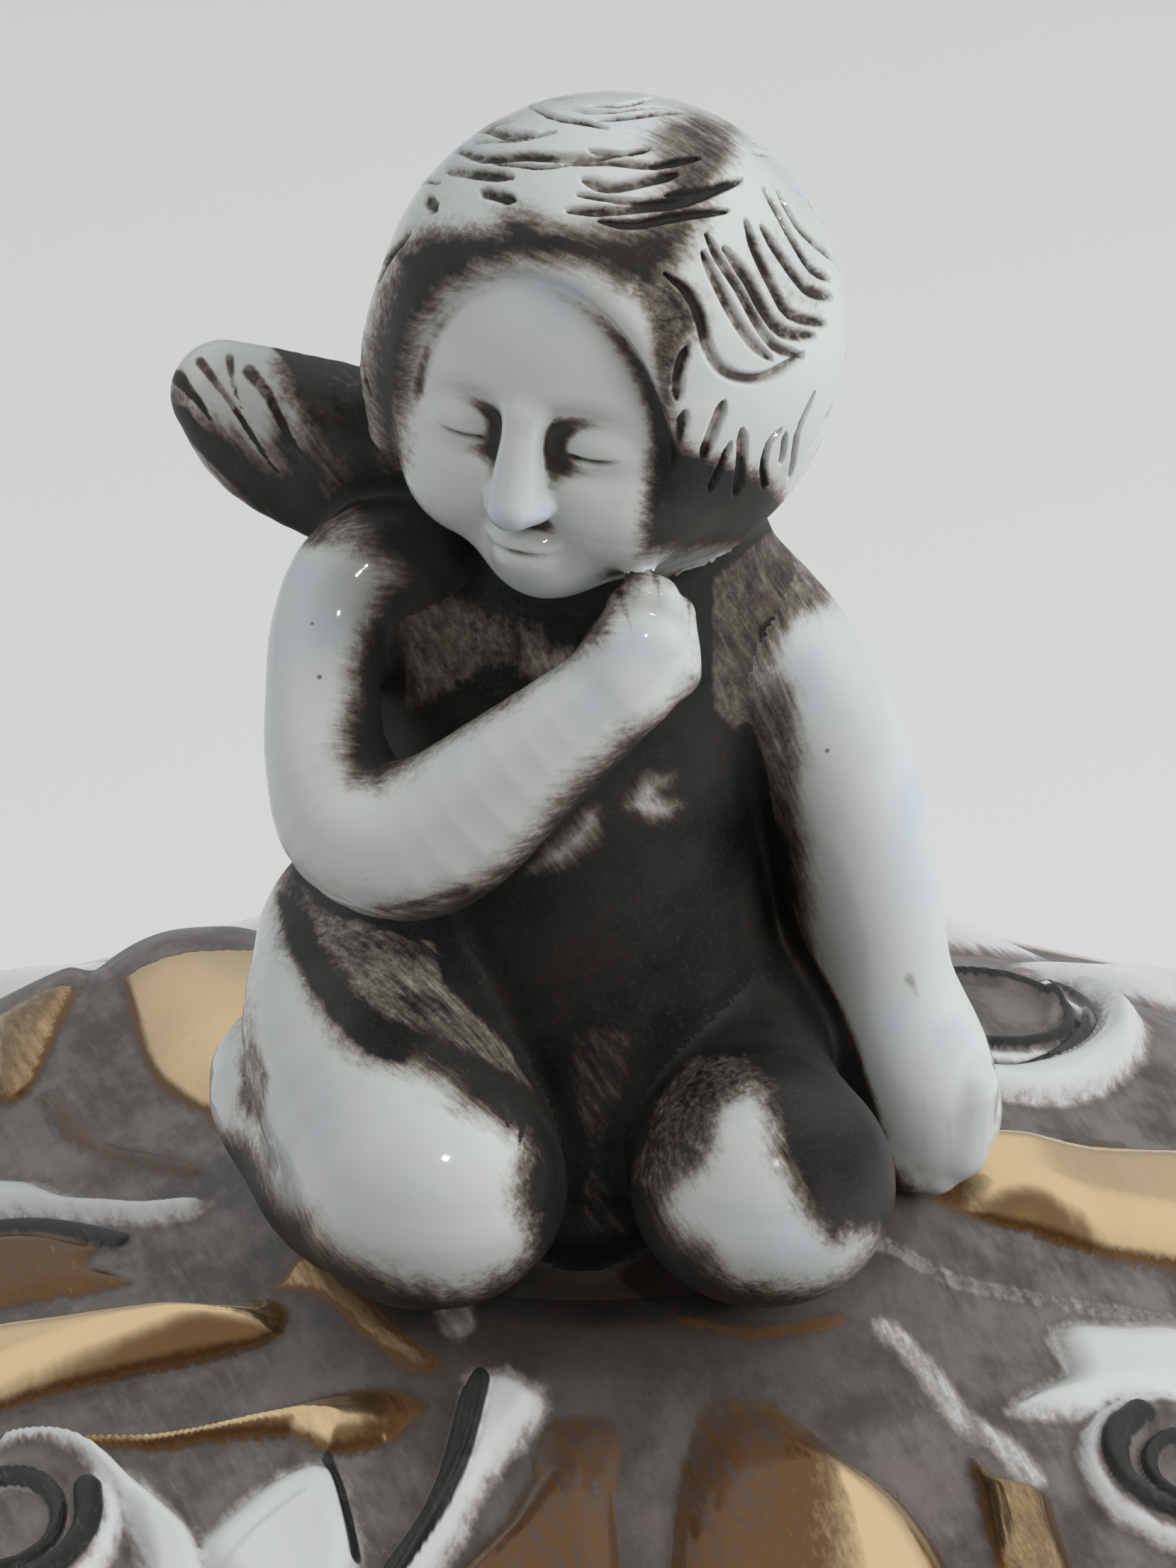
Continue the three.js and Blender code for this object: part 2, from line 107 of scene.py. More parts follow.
def ranged(tree, value, low, high, to_low=0.0, to_high=1.0, smooth=True):
    """A value run from low to high onto another range, and held at its ends."""
    node = tree.nodes.new("ShaderNodeMapRange")
    node.interpolation_type = "SMOOTHSTEP" if smooth else "LINEAR"
    for label, setting in (("From Min", low), ("From Max", high), ("To Min", to_low), ("To Max", to_high)):
        node.inputs[label].default_value = setting
    tree.links.new(value, node.inputs["Value"])
    return node.outputs["Result"]


def mixed(tree, factor, a, b):
    """Two colours mixed; each is a socket or four numbers."""
    node = tree.nodes.new("ShaderNodeMix")
    node.data_type = "RGBA"
    for label, value in (("Factor", factor), ("A", a), ("B", b)):
        feed(tree, next(s for s in node.inputs if s.name == label and s.enabled), value)
    return next(s for s in node.outputs if s.enabled)


def mesh_piece(name, points, faces, material, smooth=True):
    """A mesh object from points in millimetres."""
    mesh = bpy.data.meshes.new(name)
    mesh.from_pydata((np.asarray(points) * MM).tolist(), [], np.asarray(faces).tolist())
    mesh.polygons.foreach_set("use_smooth", np.full(len(mesh.polygons), smooth))
    mesh.materials.append(material)
    return placed(name, mesh)


def table():
    material, tree, shader = new_material("table")
    shader.inputs["Roughness"].default_value = 0.9
    tree.links.new(mixed(tree, noise(tree, None, 3.0), *TABLE_TONES), shader.inputs["Base Color"])
    half = TABLE_SIZE / MM / 2
    corners = [(-half, -half, 0), (half, -half, 0), (half, half, 0), (-half, half, 0)]
    mesh_piece("table_top", corners, [(0, 1, 2, 3)], material, smooth=False)


table()


def lamp(name, place, size, power, colour=(1, 1, 1)):
    """A soft square lamp aimed at the child; place in metres from the child's ground."""
    data = bpy.data.lights.new(name, "AREA")
    data.size = size
    data.energy = power
    data.color = colour
    light = placed(name, data)
    light.location = Vector((0, 0, child_ground * MM)) + Vector(place)
    light.rotation_euler = Vector(place).to_track_quat("Z", "Y").to_euler()
    light.visible_glossy = size < 0.1


lamp("sky_left", (-0.9, -0.2, 1.1), 0.9, 7.4)
lamp("sky_right", (0.95, -0.3, 0.62), 0.8, 12.3)
lamp("sun_spot", (0.25, -0.75, 0.85), 0.03, 0.9, (1.0, 0.98, 0.95))

world = bpy.data.worlds.new("overcast")
bpy.context.scene.world = world
world.use_nodes = True
sky = world.node_tree
background = sky.nodes["Background"]
background.inputs["Strength"].default_value = 0.64
direction = sky.nodes.new("ShaderNodeTexCoord").outputs["Generated"]


def toward(way, low, high):
    """How near a direction of the sky is to a way, from 0 to 1."""
    dot = sky.nodes.new("ShaderNodeVectorMath")
    dot.operation = "DOT_PRODUCT"
    dot.inputs[1].default_value = way
    sky.links.new(direction, dot.inputs[0])
    return ranged(sky, dot.outputs["Value"], low, high)


overcast = mixed(sky, toward((0, 0, 1), -0.1, 0.6), (0.48, 0.48, 0.49, 1), (0.98, 0.99, 1.0, 1))
room = mixed(sky, toward((0.12, -0.86, 0.50), 0.42, 0.80), overcast, (0.17, 0.115, 0.065, 1))
sky.links.new(room, background.inputs["Color"])

# Child
# The finial is a kneeling winged child, slip-cast in pieces that are luted together,
# glazed white and wiped with a dark brown stain that stays in its hollows.

# The block of space that the child is modelled in, in mm from its ground
CLAY_PITCH = 0.22
CLAY_LOW = np.array([-26.0, -22.0, -4.6])
CLAY_HIGH = np.array([24.0, 26.0, 64.0])
EMPTY_SPACE = 6.0
LUTED_BLEND = 1.3


def at(x, y, z):
    return np.array([x, y, z], np.float32)


def blend_in(a, b, width):
    """The nearer of two distances, run together over a width."""
    share = np.clip(0.5 + 0.5 * (b - a) / width, 0, 1)
    return b + (a - b) * share - width * share * (1 - share)


def smooth_course(stations, steps=4):
    """Stations of a bent roll with smoothly curved ones set between them."""
    rows = np.vstack([2 * stations[0] - stations[1], stations, 2 * stations[-1] - stations[-2]])
    course = []
    for before, a, b, after in zip(rows, rows[1:], rows[2:], rows[3:]):
        for t in np.arange(steps) / steps:
            course.append(0.5 * (2 * a + (b - before) * t + (2 * before - 5 * a + 4 * b - after) * t ** 2
                                 + (3 * a - before - 3 * b + after) * t ** 3))
    return np.vstack([course, stations[-1:]]).astype(np.float32)


def roll_gap(x, y, z, a, b, ra, rb):
    """Distance outside a round roll from a to b, tapering from ra to rb."""
    along = b - a
    px, py, pz = x - a[0], y - a[1], z - a[2]
    share = np.clip((px * along[0] + py * along[1] + pz * along[2]) / float(along @ along), 0, 1)
    return np.sqrt((px - share * along[0]) ** 2 + (py - share * along[1]) ** 2
                   + (pz - share * along[2]) ** 2) - (ra + share * (rb - ra))


class Clay:
    """A block of space in which a form is modelled: each point's distance outside the form, in mm."""

    def __init__(self, low, high, pitch):
        self.pitch = pitch
        self.low = np.asarray(low, np.float32)
        counts = np.ceil((np.asarray(high) - low) / pitch).astype(int) + 1
        self.axes = [self.low[i] + pitch * np.arange(counts[i], dtype=np.float32) for i in range(3)]
        self.shape = tuple(counts)
        self.gap = np.full(self.shape, EMPTY_SPACE, np.float32)

    def window(self, low, high, margin=3.5):
        cut = []
        for axis, a, b in zip(self.axes, low, high):
            cut.append(slice(np.searchsorted(axis, a - margin), np.searchsorted(axis, b + margin)))
        x, y, z = (axis[s] for axis, s in zip(self.axes, cut))
        return tuple(cut), x[:, None, None], y[None, :, None], z[None, None, :]

    def put(self, cut, distance, width, carve=False):
        if carve:
            self.gap[cut] = -blend_in(-self.gap[cut], distance, width)
        else:
            self.gap[cut] = blend_in(self.gap[cut], distance, width)

    def roll(self, a, b, ra, rb, width=1.0):
        """A round roll of clay from a to b, tapering from ra to rb."""
        a, b = np.asarray(a, np.float32), np.asarray(b, np.float32)
        reach = max(ra, rb)
        cut, x, y, z = self.window(np.minimum(a, b) - reach, np.maximum(a, b) + reach)
        self.put(cut, roll_gap(x, y, z, a, b, ra, rb), width)

    def rolls(self, stations, width):
        """A bent roll of clay through (place, radius) stations, curved smoothly from one to the next."""
        course = smooth_course(np.array([(*place, radius) for place, radius in stations]))
        reach = course[:, 3].max()
        cut, x, y, z = self.window(course[:, :3].min(0) - reach, course[:, :3].max(0) + reach)
        nearest = np.float32(np.inf)
        for a, b in zip(course, course[1:]):
            nearest = np.minimum(nearest, roll_gap(x, y, z, a[:3], b[:3], a[3], b[3]))
        self.put(cut, nearest, width)

    def lump(self, centre, radii, yaw=0.0, width=1.0, carve=False):
        """An egg-shaped lump, turned about the upright by yaw degrees."""
        reach = max(radii)
        centre = np.asarray(centre, np.float32)
        cut, x, y, z = self.window(centre - reach, centre + reach)
        cos, sin = np.float32(math.cos(math.radians(yaw))), np.float32(math.sin(math.radians(yaw)))
        px, py, pz = x - centre[0], y - centre[1], z - centre[2]
        local = [way / radius for way, radius in zip((cos * px + sin * py, cos * py - sin * px, pz), radii)]
        k0 = np.sqrt(sum(way ** 2 for way in local))
        k1 = np.sqrt(sum((way / radius) ** 2 for way, radius in zip(local, radii)))
        self.put(cut, k0 * (k0 - 1) / np.maximum(k1, 1e-4), width, carve)


def build_mound(clay):
    cut, x, y, z = clay.window(at(-20, -20, -4), at(20, 20, 1))
    turn = np.arctan2(y, x)
    radius = np.sqrt(x ** 2 + y ** 2)
    edge = 13.5 - np.cos(4 * turn) + 0.3 * np.sin(3 * turn + 0.6) + 0.2 * np.sin(7 * turn)
    past = np.clip((radius - edge + 5.5) / 7, 0, 1)
    level = -0.3 - 3.3 * past ** 2 * (1.5 - 0.5 * past) - 0.25 * np.maximum(radius - edge - 1.5, 0)
    clay.put(cut, np.maximum((z - level) * 0.75, -4.2 - z), 0.1)


def build_torso(clay):
    clay.lump(at(-1.0, 4.4, 8.6), (11.0, 8.4, 9.4), yaw=20)
    clay.lump(at(-0.2, 0.2, 13.6), (8.0, 6.6, 7.6), yaw=20, width=3)
    clay.roll(at(-0.6, 2.6, 14), at(-1.2, 2.4, 24), 8.0, 8.0, width=3)
    clay.lump(at(-1.7, 1.9, 26), (9.4, 6.7, 9.4), yaw=20, width=3)
    clay.roll(at(-9.4, 2.0, 31.6), at(5.2, 3.2, 30.6), 4.0, 4.2, width=2.5)
    clay.roll(at(0.6, 2.2, 30), at(1.2, 2.2, 40), 6.0, 5.4, width=3)
    clay.roll(at(4.4, 2.4, 35.6), at(6.4, 3.0, 31.6), 4.0, 3.4, width=2)
    clay.lump(at(3.4, 5.0, 20), (7.4, 4.8, 12), yaw=10, width=2)
    clay.lump(at(-7.0, 4.0, 25), (6.0, 4.4, 9), yaw=10, width=2)
    clay.roll(at(-7.4, 3.6, 19), at(-9.0, 3.6, 30), 4.2, 4.0, width=3)
    clay.roll(at(-1, -6, 2), at(0, -2, 9), 4.4, 7, width=3)


def build_right_leg(clay):
    clay.rolls([(at(-10.4, 1.6, 10.8), 7.7), (at(-11.2, -5, 9.4), 7.2), (at(-9.0, -11.4, 6.8), 6.4)],
               width=1.5)
    clay.lump(at(-8.2, -12.4, 6.1), (6.2, 5.4, 5.9), width=2)
    clay.rolls([(at(-10.4, -11.0, 4.4), 4.7), (at(-13.0, -7, 2.8), 4.5), (at(-14.8, -2, 1.8), 4.2),
                (at(-16.8, 4, 1.8), 3.9), (at(-14.0, 9.2, 1.2), 3.3)], width=1.6)
    clay.lump(at(-12.4, 10.8, 0.8), (2.8, 4.4, 2.9), yaw=20, width=1)


def build_left_leg(clay):
    clay.rolls([(at(5.6, 4.6, 8.6), 6.4), (at(6.4, -3.4, 7.0), 5.4), (at(8.0, -10.8, 6.3), 6.0)], width=1.5)
    clay.lump(at(8.2, -12.2, 6.0), (6.5, 5.5, 5.9), width=2)
    clay.rolls([(at(9.4, -11.0, 4.6), 4.3), (at(9.4, -5, 2.6), 4.0), (at(9.4, 1, 1.6), 3.9),
                (at(9.8, 6.6, 1.2), 3.6), (at(8.6, 10.8, 0.8), 3.1)], width=1.6)


def build_right_arm(clay):
    clay.rolls([(at(-9.0, 2.2, 34.4), 3.4), (at(-12.2, 0.8, 34.6), 3.2), (at(-13.7, -1.2, 32.6), 2.95),
                (at(-14.0, -4.0, 30.2), 2.9), (at(-13.7, -6.6, 28.0), 3.15), (at(-12.2, -8.6, 25.7), 3.8),
                (at(-8.7, -10.2, 26.0), 4.0), (at(-3.9, -10.8, 30.5), 3.3), (at(0.7, -10.4, 34.7), 2.6)],
               width=1.2)
    clay.lump(at(1.9, -9.8, 36.2), (2.8, 2.2, 2.9), yaw=10, width=1.2)
    for root, tip, height in ((0.3, 1.1, 38.7), (1.4, 1.9, 39.4), (2.5, 2.8, 39.3), (3.5, 3.6, 38.3)):
        clay.roll(at(root, -9.9, 35.4), at(tip, -9.3, height), 1.35, 0.95, width=0.35)
    clay.roll(at(-0.6, -10.6, 34.6), at(0.3, -10.4, 37.8), 1.3, 0.9, width=0.5)


def build_left_arm(clay):
    clay.rolls([(at(5.2, 3.2, 31.3), 4.1), (at(7.6, 3.0, 30.0), 4.15), (at(10.1, 2.6, 26.6), 4.1),
                (at(12.0, 2.2, 21.9), 4.1), (at(13.3, 2.0, 15.4), 4.1), (at(14.2, 1.9, 9.3), 4.1),
                (at(16.0, 1.8, 4.4), 4.3), (at(17.0, 1.8, 1.4), 4.0)], width=1.2)
    for offset, tip in ((-2.7, 0.6), (-1.1, -0.6), (0.5, -0.8), (2.0, 0.2)):
        clay.roll(at(16.9 + offset, 0.1, 4.0), at(17.0 + offset * 0.85, -0.4, tip), 1.75, 1.4, width=0.5)


FACE_YAW = -23.0
HEAD_CENTRE = at(0.4, 1.2, 48.5)
FACE_AHEAD = np.array([math.sin(math.radians(FACE_YAW)), -math.cos(math.radians(FACE_YAW)), 0])
FACE_SIDE = np.array([math.cos(math.radians(FACE_YAW)), math.sin(math.radians(FACE_YAW)), 0])
FACE_OFFSET = -0.3
HEAD_RADIUS = 11.7


def on_face(ahead, side, up):
    """A place on the head: ahead of its centre, to the viewer's right of the face's middle line, and up."""
    return HEAD_CENTRE + FACE_AHEAD * ahead + FACE_SIDE * (side + FACE_OFFSET) + np.array([0, 0, up])


def build_head(clay):
    clay.lump(HEAD_CENTRE, (HEAD_RADIUS,) * 3)
    clay.lump(HEAD_CENTRE + at(0.5, 1.6, -4.6), (9.6, 9.6, 8.4), width=2)
    clay.lump(on_face(10.4, 0, -2.4), (7.6, 6.2, 9.9), yaw=FACE_YAW, width=1.2, carve=True)
    clay.lump(on_face(3.1, 0, -1.2), (8.5, 7.6, 10.6), yaw=FACE_YAW, width=0.8)
    for side in (-1, 1):
        clay.lump(on_face(7.0, side * 3.9, -4.8), (3.5, 3.4, 3.5), width=2)
        clay.lump(on_face(11.0, side * 3.3, -0.9), (2.9, 1.7, 1.7), yaw=FACE_YAW, width=1.6, carve=True)
        clay.lump(on_face(8.9, side * 3.3, -1.3), (2.0, 1.15, 1.2), yaw=FACE_YAW, width=0.6)
    clay.roll(on_face(10.2, 0, 0.0), on_face(11.7, 0, -4.0), 0.9, 1.25, width=1.0)
    for side in (-1, 1):
        clay.lump(on_face(11.0, side * 0.95, -4.3), (0.8, 0.8, 0.7), width=0.6)
    clay.lump(on_face(9.8, 0, -6.6), (1.9, 1.3, 0.75), yaw=FACE_YAW, width=0.5)
    clay.lump(on_face(9.7, 0, -7.5), (1.5, 1.2, 0.75), yaw=FACE_YAW, width=0.4)
    clay.lump(on_face(7.4, 0, -8.6), (2.8, 2.8, 2.4), width=2)
    clay.rolls([(on_face(4.0, -6.5, 3.6), 2.4), (on_face(4.4, -8.7, -1.0), 2.3),
                (on_face(4.2, -9.3, -5.4), 1.6)], width=1.2)


WING_HALF = 2.9


def flat_wing(clay, course, low, high, aside):
    """A bent roll of clay, pared flat on both sides of a middle that aside(x, y) is measured from."""
    clay.rolls(course, width=1.5)
    cut, x, y, z = clay.window(low, high, 0)
    clay.put(cut, WING_HALF - np.abs(aside(x, y)) + 0 * z, 1.6, carve=True)


def build_right_wing(clay):
    flat_wing(clay, [(at(-6.6, 5.6, 34.6), 4.4), (at(-11.9, 6.6, 37.6), 4.7), (at(-16.3, 7.4, 39.2), 4.1),
                     (at(-19.1, 8.0, 41.0), 2.75)],
              at(-26, 0, 28), at(0, 14, 50), lambda x, y: y - (6.2 + 0.12 * (-8 - x)))


def build_left_wing(clay):
    flat_wing(clay, [(at(4.0, 7.6, 32.8), 4.4), (at(5.6, 12.2, 36.4), 4.7), (at(6.6, 16.6, 38.6), 4.1),
                     (at(7.2, 19.2, 40.4), 2.75)],
              at(0, 0, 28), at(16, 26, 50), lambda x, y: x - (4.2 + 0.25 * (y - 8)))


child_pieces = {
    "figure_mound": build_mound,
    "torso": build_torso,
    "leg_right": build_right_leg,
    "leg_left": build_left_leg,
    "head": build_head,
    "arm_right": build_right_arm,
    "arm_left": build_left_arm,
    "wing_right": build_right_wing,
    "wing_left": build_left_wing,
}


def model_child():
    """All pieces run together at their joins, and the number of the piece that each point belongs to."""
    whole = Clay(CLAY_LOW, CLAY_HIGH, CLAY_PITCH)
    owner = np.zeros(whole.shape, np.int8)
    nearest = np.full(whole.shape, np.inf, np.float32)
    for number, build in enumerate(child_pieces.values(), 1):
        part = Clay(CLAY_LOW, CLAY_HIGH, CLAY_PITCH)
        build(part)
        owner[part.gap < nearest] = number
        nearest = np.minimum(nearest, part.gap)
        whole.gap = blend_in(whole.gap, part.gap, LUTED_BLEND)
    owner[whole.gap > 0] = 0
    return whole, owner


def skin(clay, owner):
    """Points of the surface net through the clay, each piece's own closed quads, and which of them show."""
    gap = clay.gap
    shape = np.array(clay.shape) - 1
    total = np.zeros(tuple(shape) + (3,), np.float32)
    count = np.zeros(tuple(shape), np.float32)
    split = np.zeros(tuple(shape), bool)
    corner = [slice(None, -1), slice(1, None)]
    base = owner[:-1, :-1, :-1]
    for i, j, k in product((0, 1), repeat=3):
        split |= owner[corner[i], corner[j], corner[k]] != base
    for axis in range(3):
        others = [a for a in range(3) if a != axis]
        for i, j in product((0, 1), repeat=2):
            low = [None] * 3
            low[axis], low[others[0]], low[others[1]] = corner[0], corner[i], corner[j]
            high = list(low)
            high[axis] = corner[1]
            a, b = gap[tuple(low)], gap[tuple(high)]
            crosses = (a > 0) != (b > 0)
            share = np.where(crosses, a / np.where(a == b, 1, a - b), 0)
            total[..., axis] += np.where(crosses, share, 0)
            total[..., others[0]] += np.where(crosses, i, 0)
            total[..., others[1]] += np.where(crosses, j, 0)
            count += crosses
    where = np.argwhere(split)
    counts = count[split]
    local = np.where(counts[:, None] > 0, total[split] / np.maximum(counts, 1)[:, None], 0.5)
    points = clay.low + (where + local) * clay.pitch
    index = np.full(tuple(shape), -1, np.int64)
    index[split] = np.arange(len(where))
    quads, shown = {}, {}
    for axis in range(3):
        b_axis, c_axis = (axis + 1) % 3, (axis + 2) % 3
        inner = [slice(1, -1)] * 3
        low, high = list(inner), list(inner)
        low[axis], high[axis] = slice(0, -1), slice(1, None)
        a, b = owner[tuple(low)], owner[tuple(high)]
        edge = np.argwhere(a != b)
        ends = a[a != b], b[a != b]
        ring = []
        for b_step, c_step in ((1, 1), (0, 1), (0, 0), (1, 0)):
            around = edge.copy()
            around[:, b_axis] += b_step
            around[:, c_axis] += c_step
            ring.append(index[around[:, 0], around[:, 1], around[:, 2]])
        ring = np.stack(ring, 1)
        for side, turned_over in ((0, False), (1, True)):
            for number in range(1, len(child_pieces) + 1):
                mine = ends[side] == number
                chosen = ring[mine]
                quads.setdefault(number, []).append(chosen[:, ::-1] if turned_over else chosen)
                shown.setdefault(number, []).append(ends[1 - side][mine] == 0)
    joined = ({number: np.concatenate(parts) for number, parts in of.items()} for of in (quads, shown))
    return points.astype(np.float32), *joined


def read_clay(values, points):
    """Values of a block of clay at points, run smoothly between its own places."""
    place = (points - CLAY_LOW) / CLAY_PITCH
    corner = np.clip(np.floor(place).astype(int), 0, np.array(values.shape) - 2)
    share = (place - corner).astype(np.float32)
    result = np.zeros(len(points), np.float32)
    for i, j, k in product((0, 1), repeat=3):
        weight = 1.0
        for axis, step in enumerate((i, j, k)):
            weight = weight * (share[:, axis] if step else 1 - share[:, axis])
        result += weight * values[corner[:, 0] + i, corner[:, 1] + j, corner[:, 2] + k]
    return result


def outward(points):
    """Directions straight out of the clay."""
    step = np.eye(3, dtype=np.float32) * CLAY_PITCH * 1.5
    slope = np.stack([read_clay(clay.gap, points + s) - read_clay(clay.gap, points - s) for s in step], 1)
    return slope / np.maximum(np.linalg.norm(slope, axis=1, keepdims=True), 1e-6)


def filled_around(clay, reach):
    """How much of the space within reach of each point is clay: over a half in hollows, less on knuckles."""
    amount = (clay.gap < 0).astype(np.float32)
    half = max(1, round(reach / clay.pitch))
    for axis in range(3):
        for _ in range(2):
            run = np.cumsum(amount, axis)
            ahead = np.take(run, np.minimum(np.arange(run.shape[axis]) + half, run.shape[axis] - 1), axis)
            behind = np.take(run, np.maximum(np.arange(run.shape[axis]) - half - 1, 0), axis)
            amount = (ahead - behind) / (2 * half + 1)
    return amount


def inside_by(x, y, outline):
    """How far places lie inside a closed outline, in mm, negative outside."""
    nearest = np.full(len(x), np.inf, np.float32)
    inside = np.zeros(len(x), bool)
    for (ax, ay), (bx, by) in zip(outline, outline[1:] + outline[:1]):
        dx, dy = bx - ax, by - ay
        share = np.clip(((x - ax) * dx + (y - ay) * dy) / (dx * dx + dy * dy), 0, 1)
        nearest = np.minimum(nearest, (x - ax - share * dx) ** 2 + (y - ay - share * dy) ** 2)
        if ay != by:
            inside ^= ((ay > y) != (by > y)) & (x < ax + (y - ay) * dx / dy)
    return np.where(inside, 1, -1) * np.sqrt(nearest)


def along_course(points, course):
    """Distances from each stretch of a curved line in turn, and how far along the line that is."""
    course = smooth_course(np.array(course, float), 3)
    lengths = np.linalg.norm(np.diff(course, axis=0), axis=1)
    done = 0.0
    for a, b, length in zip(course, course[1:], lengths):
        along = b - a
        share = np.clip(((points - a) @ along) / max(float(along @ along), 1e-6), 0, 1)
        away = np.linalg.norm(points - a - share[:, None] * along, axis=1)
        yield away, (done + share * length) / lengths.sum()
        done += length


def near_course(x, y, course):
    """Distance in plan from a curved line, and how far along it the nearest spot is."""
    best = np.full(len(x), np.inf, np.float32)
    place = np.zeros(len(x), np.float32)
    for away, through in along_course(np.stack([x, y], 1), course):
        nearer = away < best
        best[nearer], place[nearer] = away[nearer], through[nearer]
    return best, place


STROKE_BOW = 1.0


def stroke_depth(points, strokes):
    """How deep each point lies in the nearest stroke: 1 at its middle, 0 past its width."""
    depth = np.zeros(len(points), np.float32)
    for course, width in strokes:
        ends = np.array(course)
        reach = width + STROKE_BOW
        near = np.nonzero(np.all((points > ends.min(0) - reach) & (points < ends.max(0) + reach), axis=1))[0]
        best = np.zeros(len(near), np.float32)
        for away, through in along_course(points[near], course):
            taper = np.sqrt(np.clip(np.minimum(through, 1 - through) * 6 + 0.12, 0, 1))
            best = np.maximum(best, 1 - away / (width * taper))
        depth[near] = np.maximum(depth[near], np.clip(best, 0, 1))
    return depth


clay, owner = model_child()
child_points, child_quads, child_shown = skin(clay, owner)
near_hollows = filled_around(clay, 1.1)
wide_hollows = filled_around(clay, 2.8)

SHEET_MIDDLE = np.array([-0.74, 19.28])


def from_front(points):
    """Where points lie on a painter's sheet held before the child: across and up, in mm."""
    away = points - VIEW_TARGET
    swell = VIEW_DISTANCE / (VIEW_DISTANCE - away @ VIEW_BACK)
    return away[:, 0] * swell + SHEET_MIDDLE[0], (away @ VIEW_UP) * swell + SHEET_MIDDLE[1]


def onto_head(across, up):
    """The place on the front of the hair that lies behind a spot of the painter's sheet."""
    eye = VIEW_TARGET + VIEW_BACK * VIEW_DISTANCE
    spot = VIEW_TARGET + [across - SHEET_MIDDLE[0], 0, 0] + VIEW_UP * (up - SHEET_MIDDLE[1])
    ray = (spot - eye) / np.linalg.norm(spot - eye)
    to_middle = HEAD_CENTRE - eye
    middle = to_middle @ ray
    aside = np.linalg.norm(eye + ray * middle - HEAD_CENTRE)
    half = math.sqrt(max(HEAD_RADIUS ** 2 - aside ** 2, 0))
    return eye + ray * (middle - half)


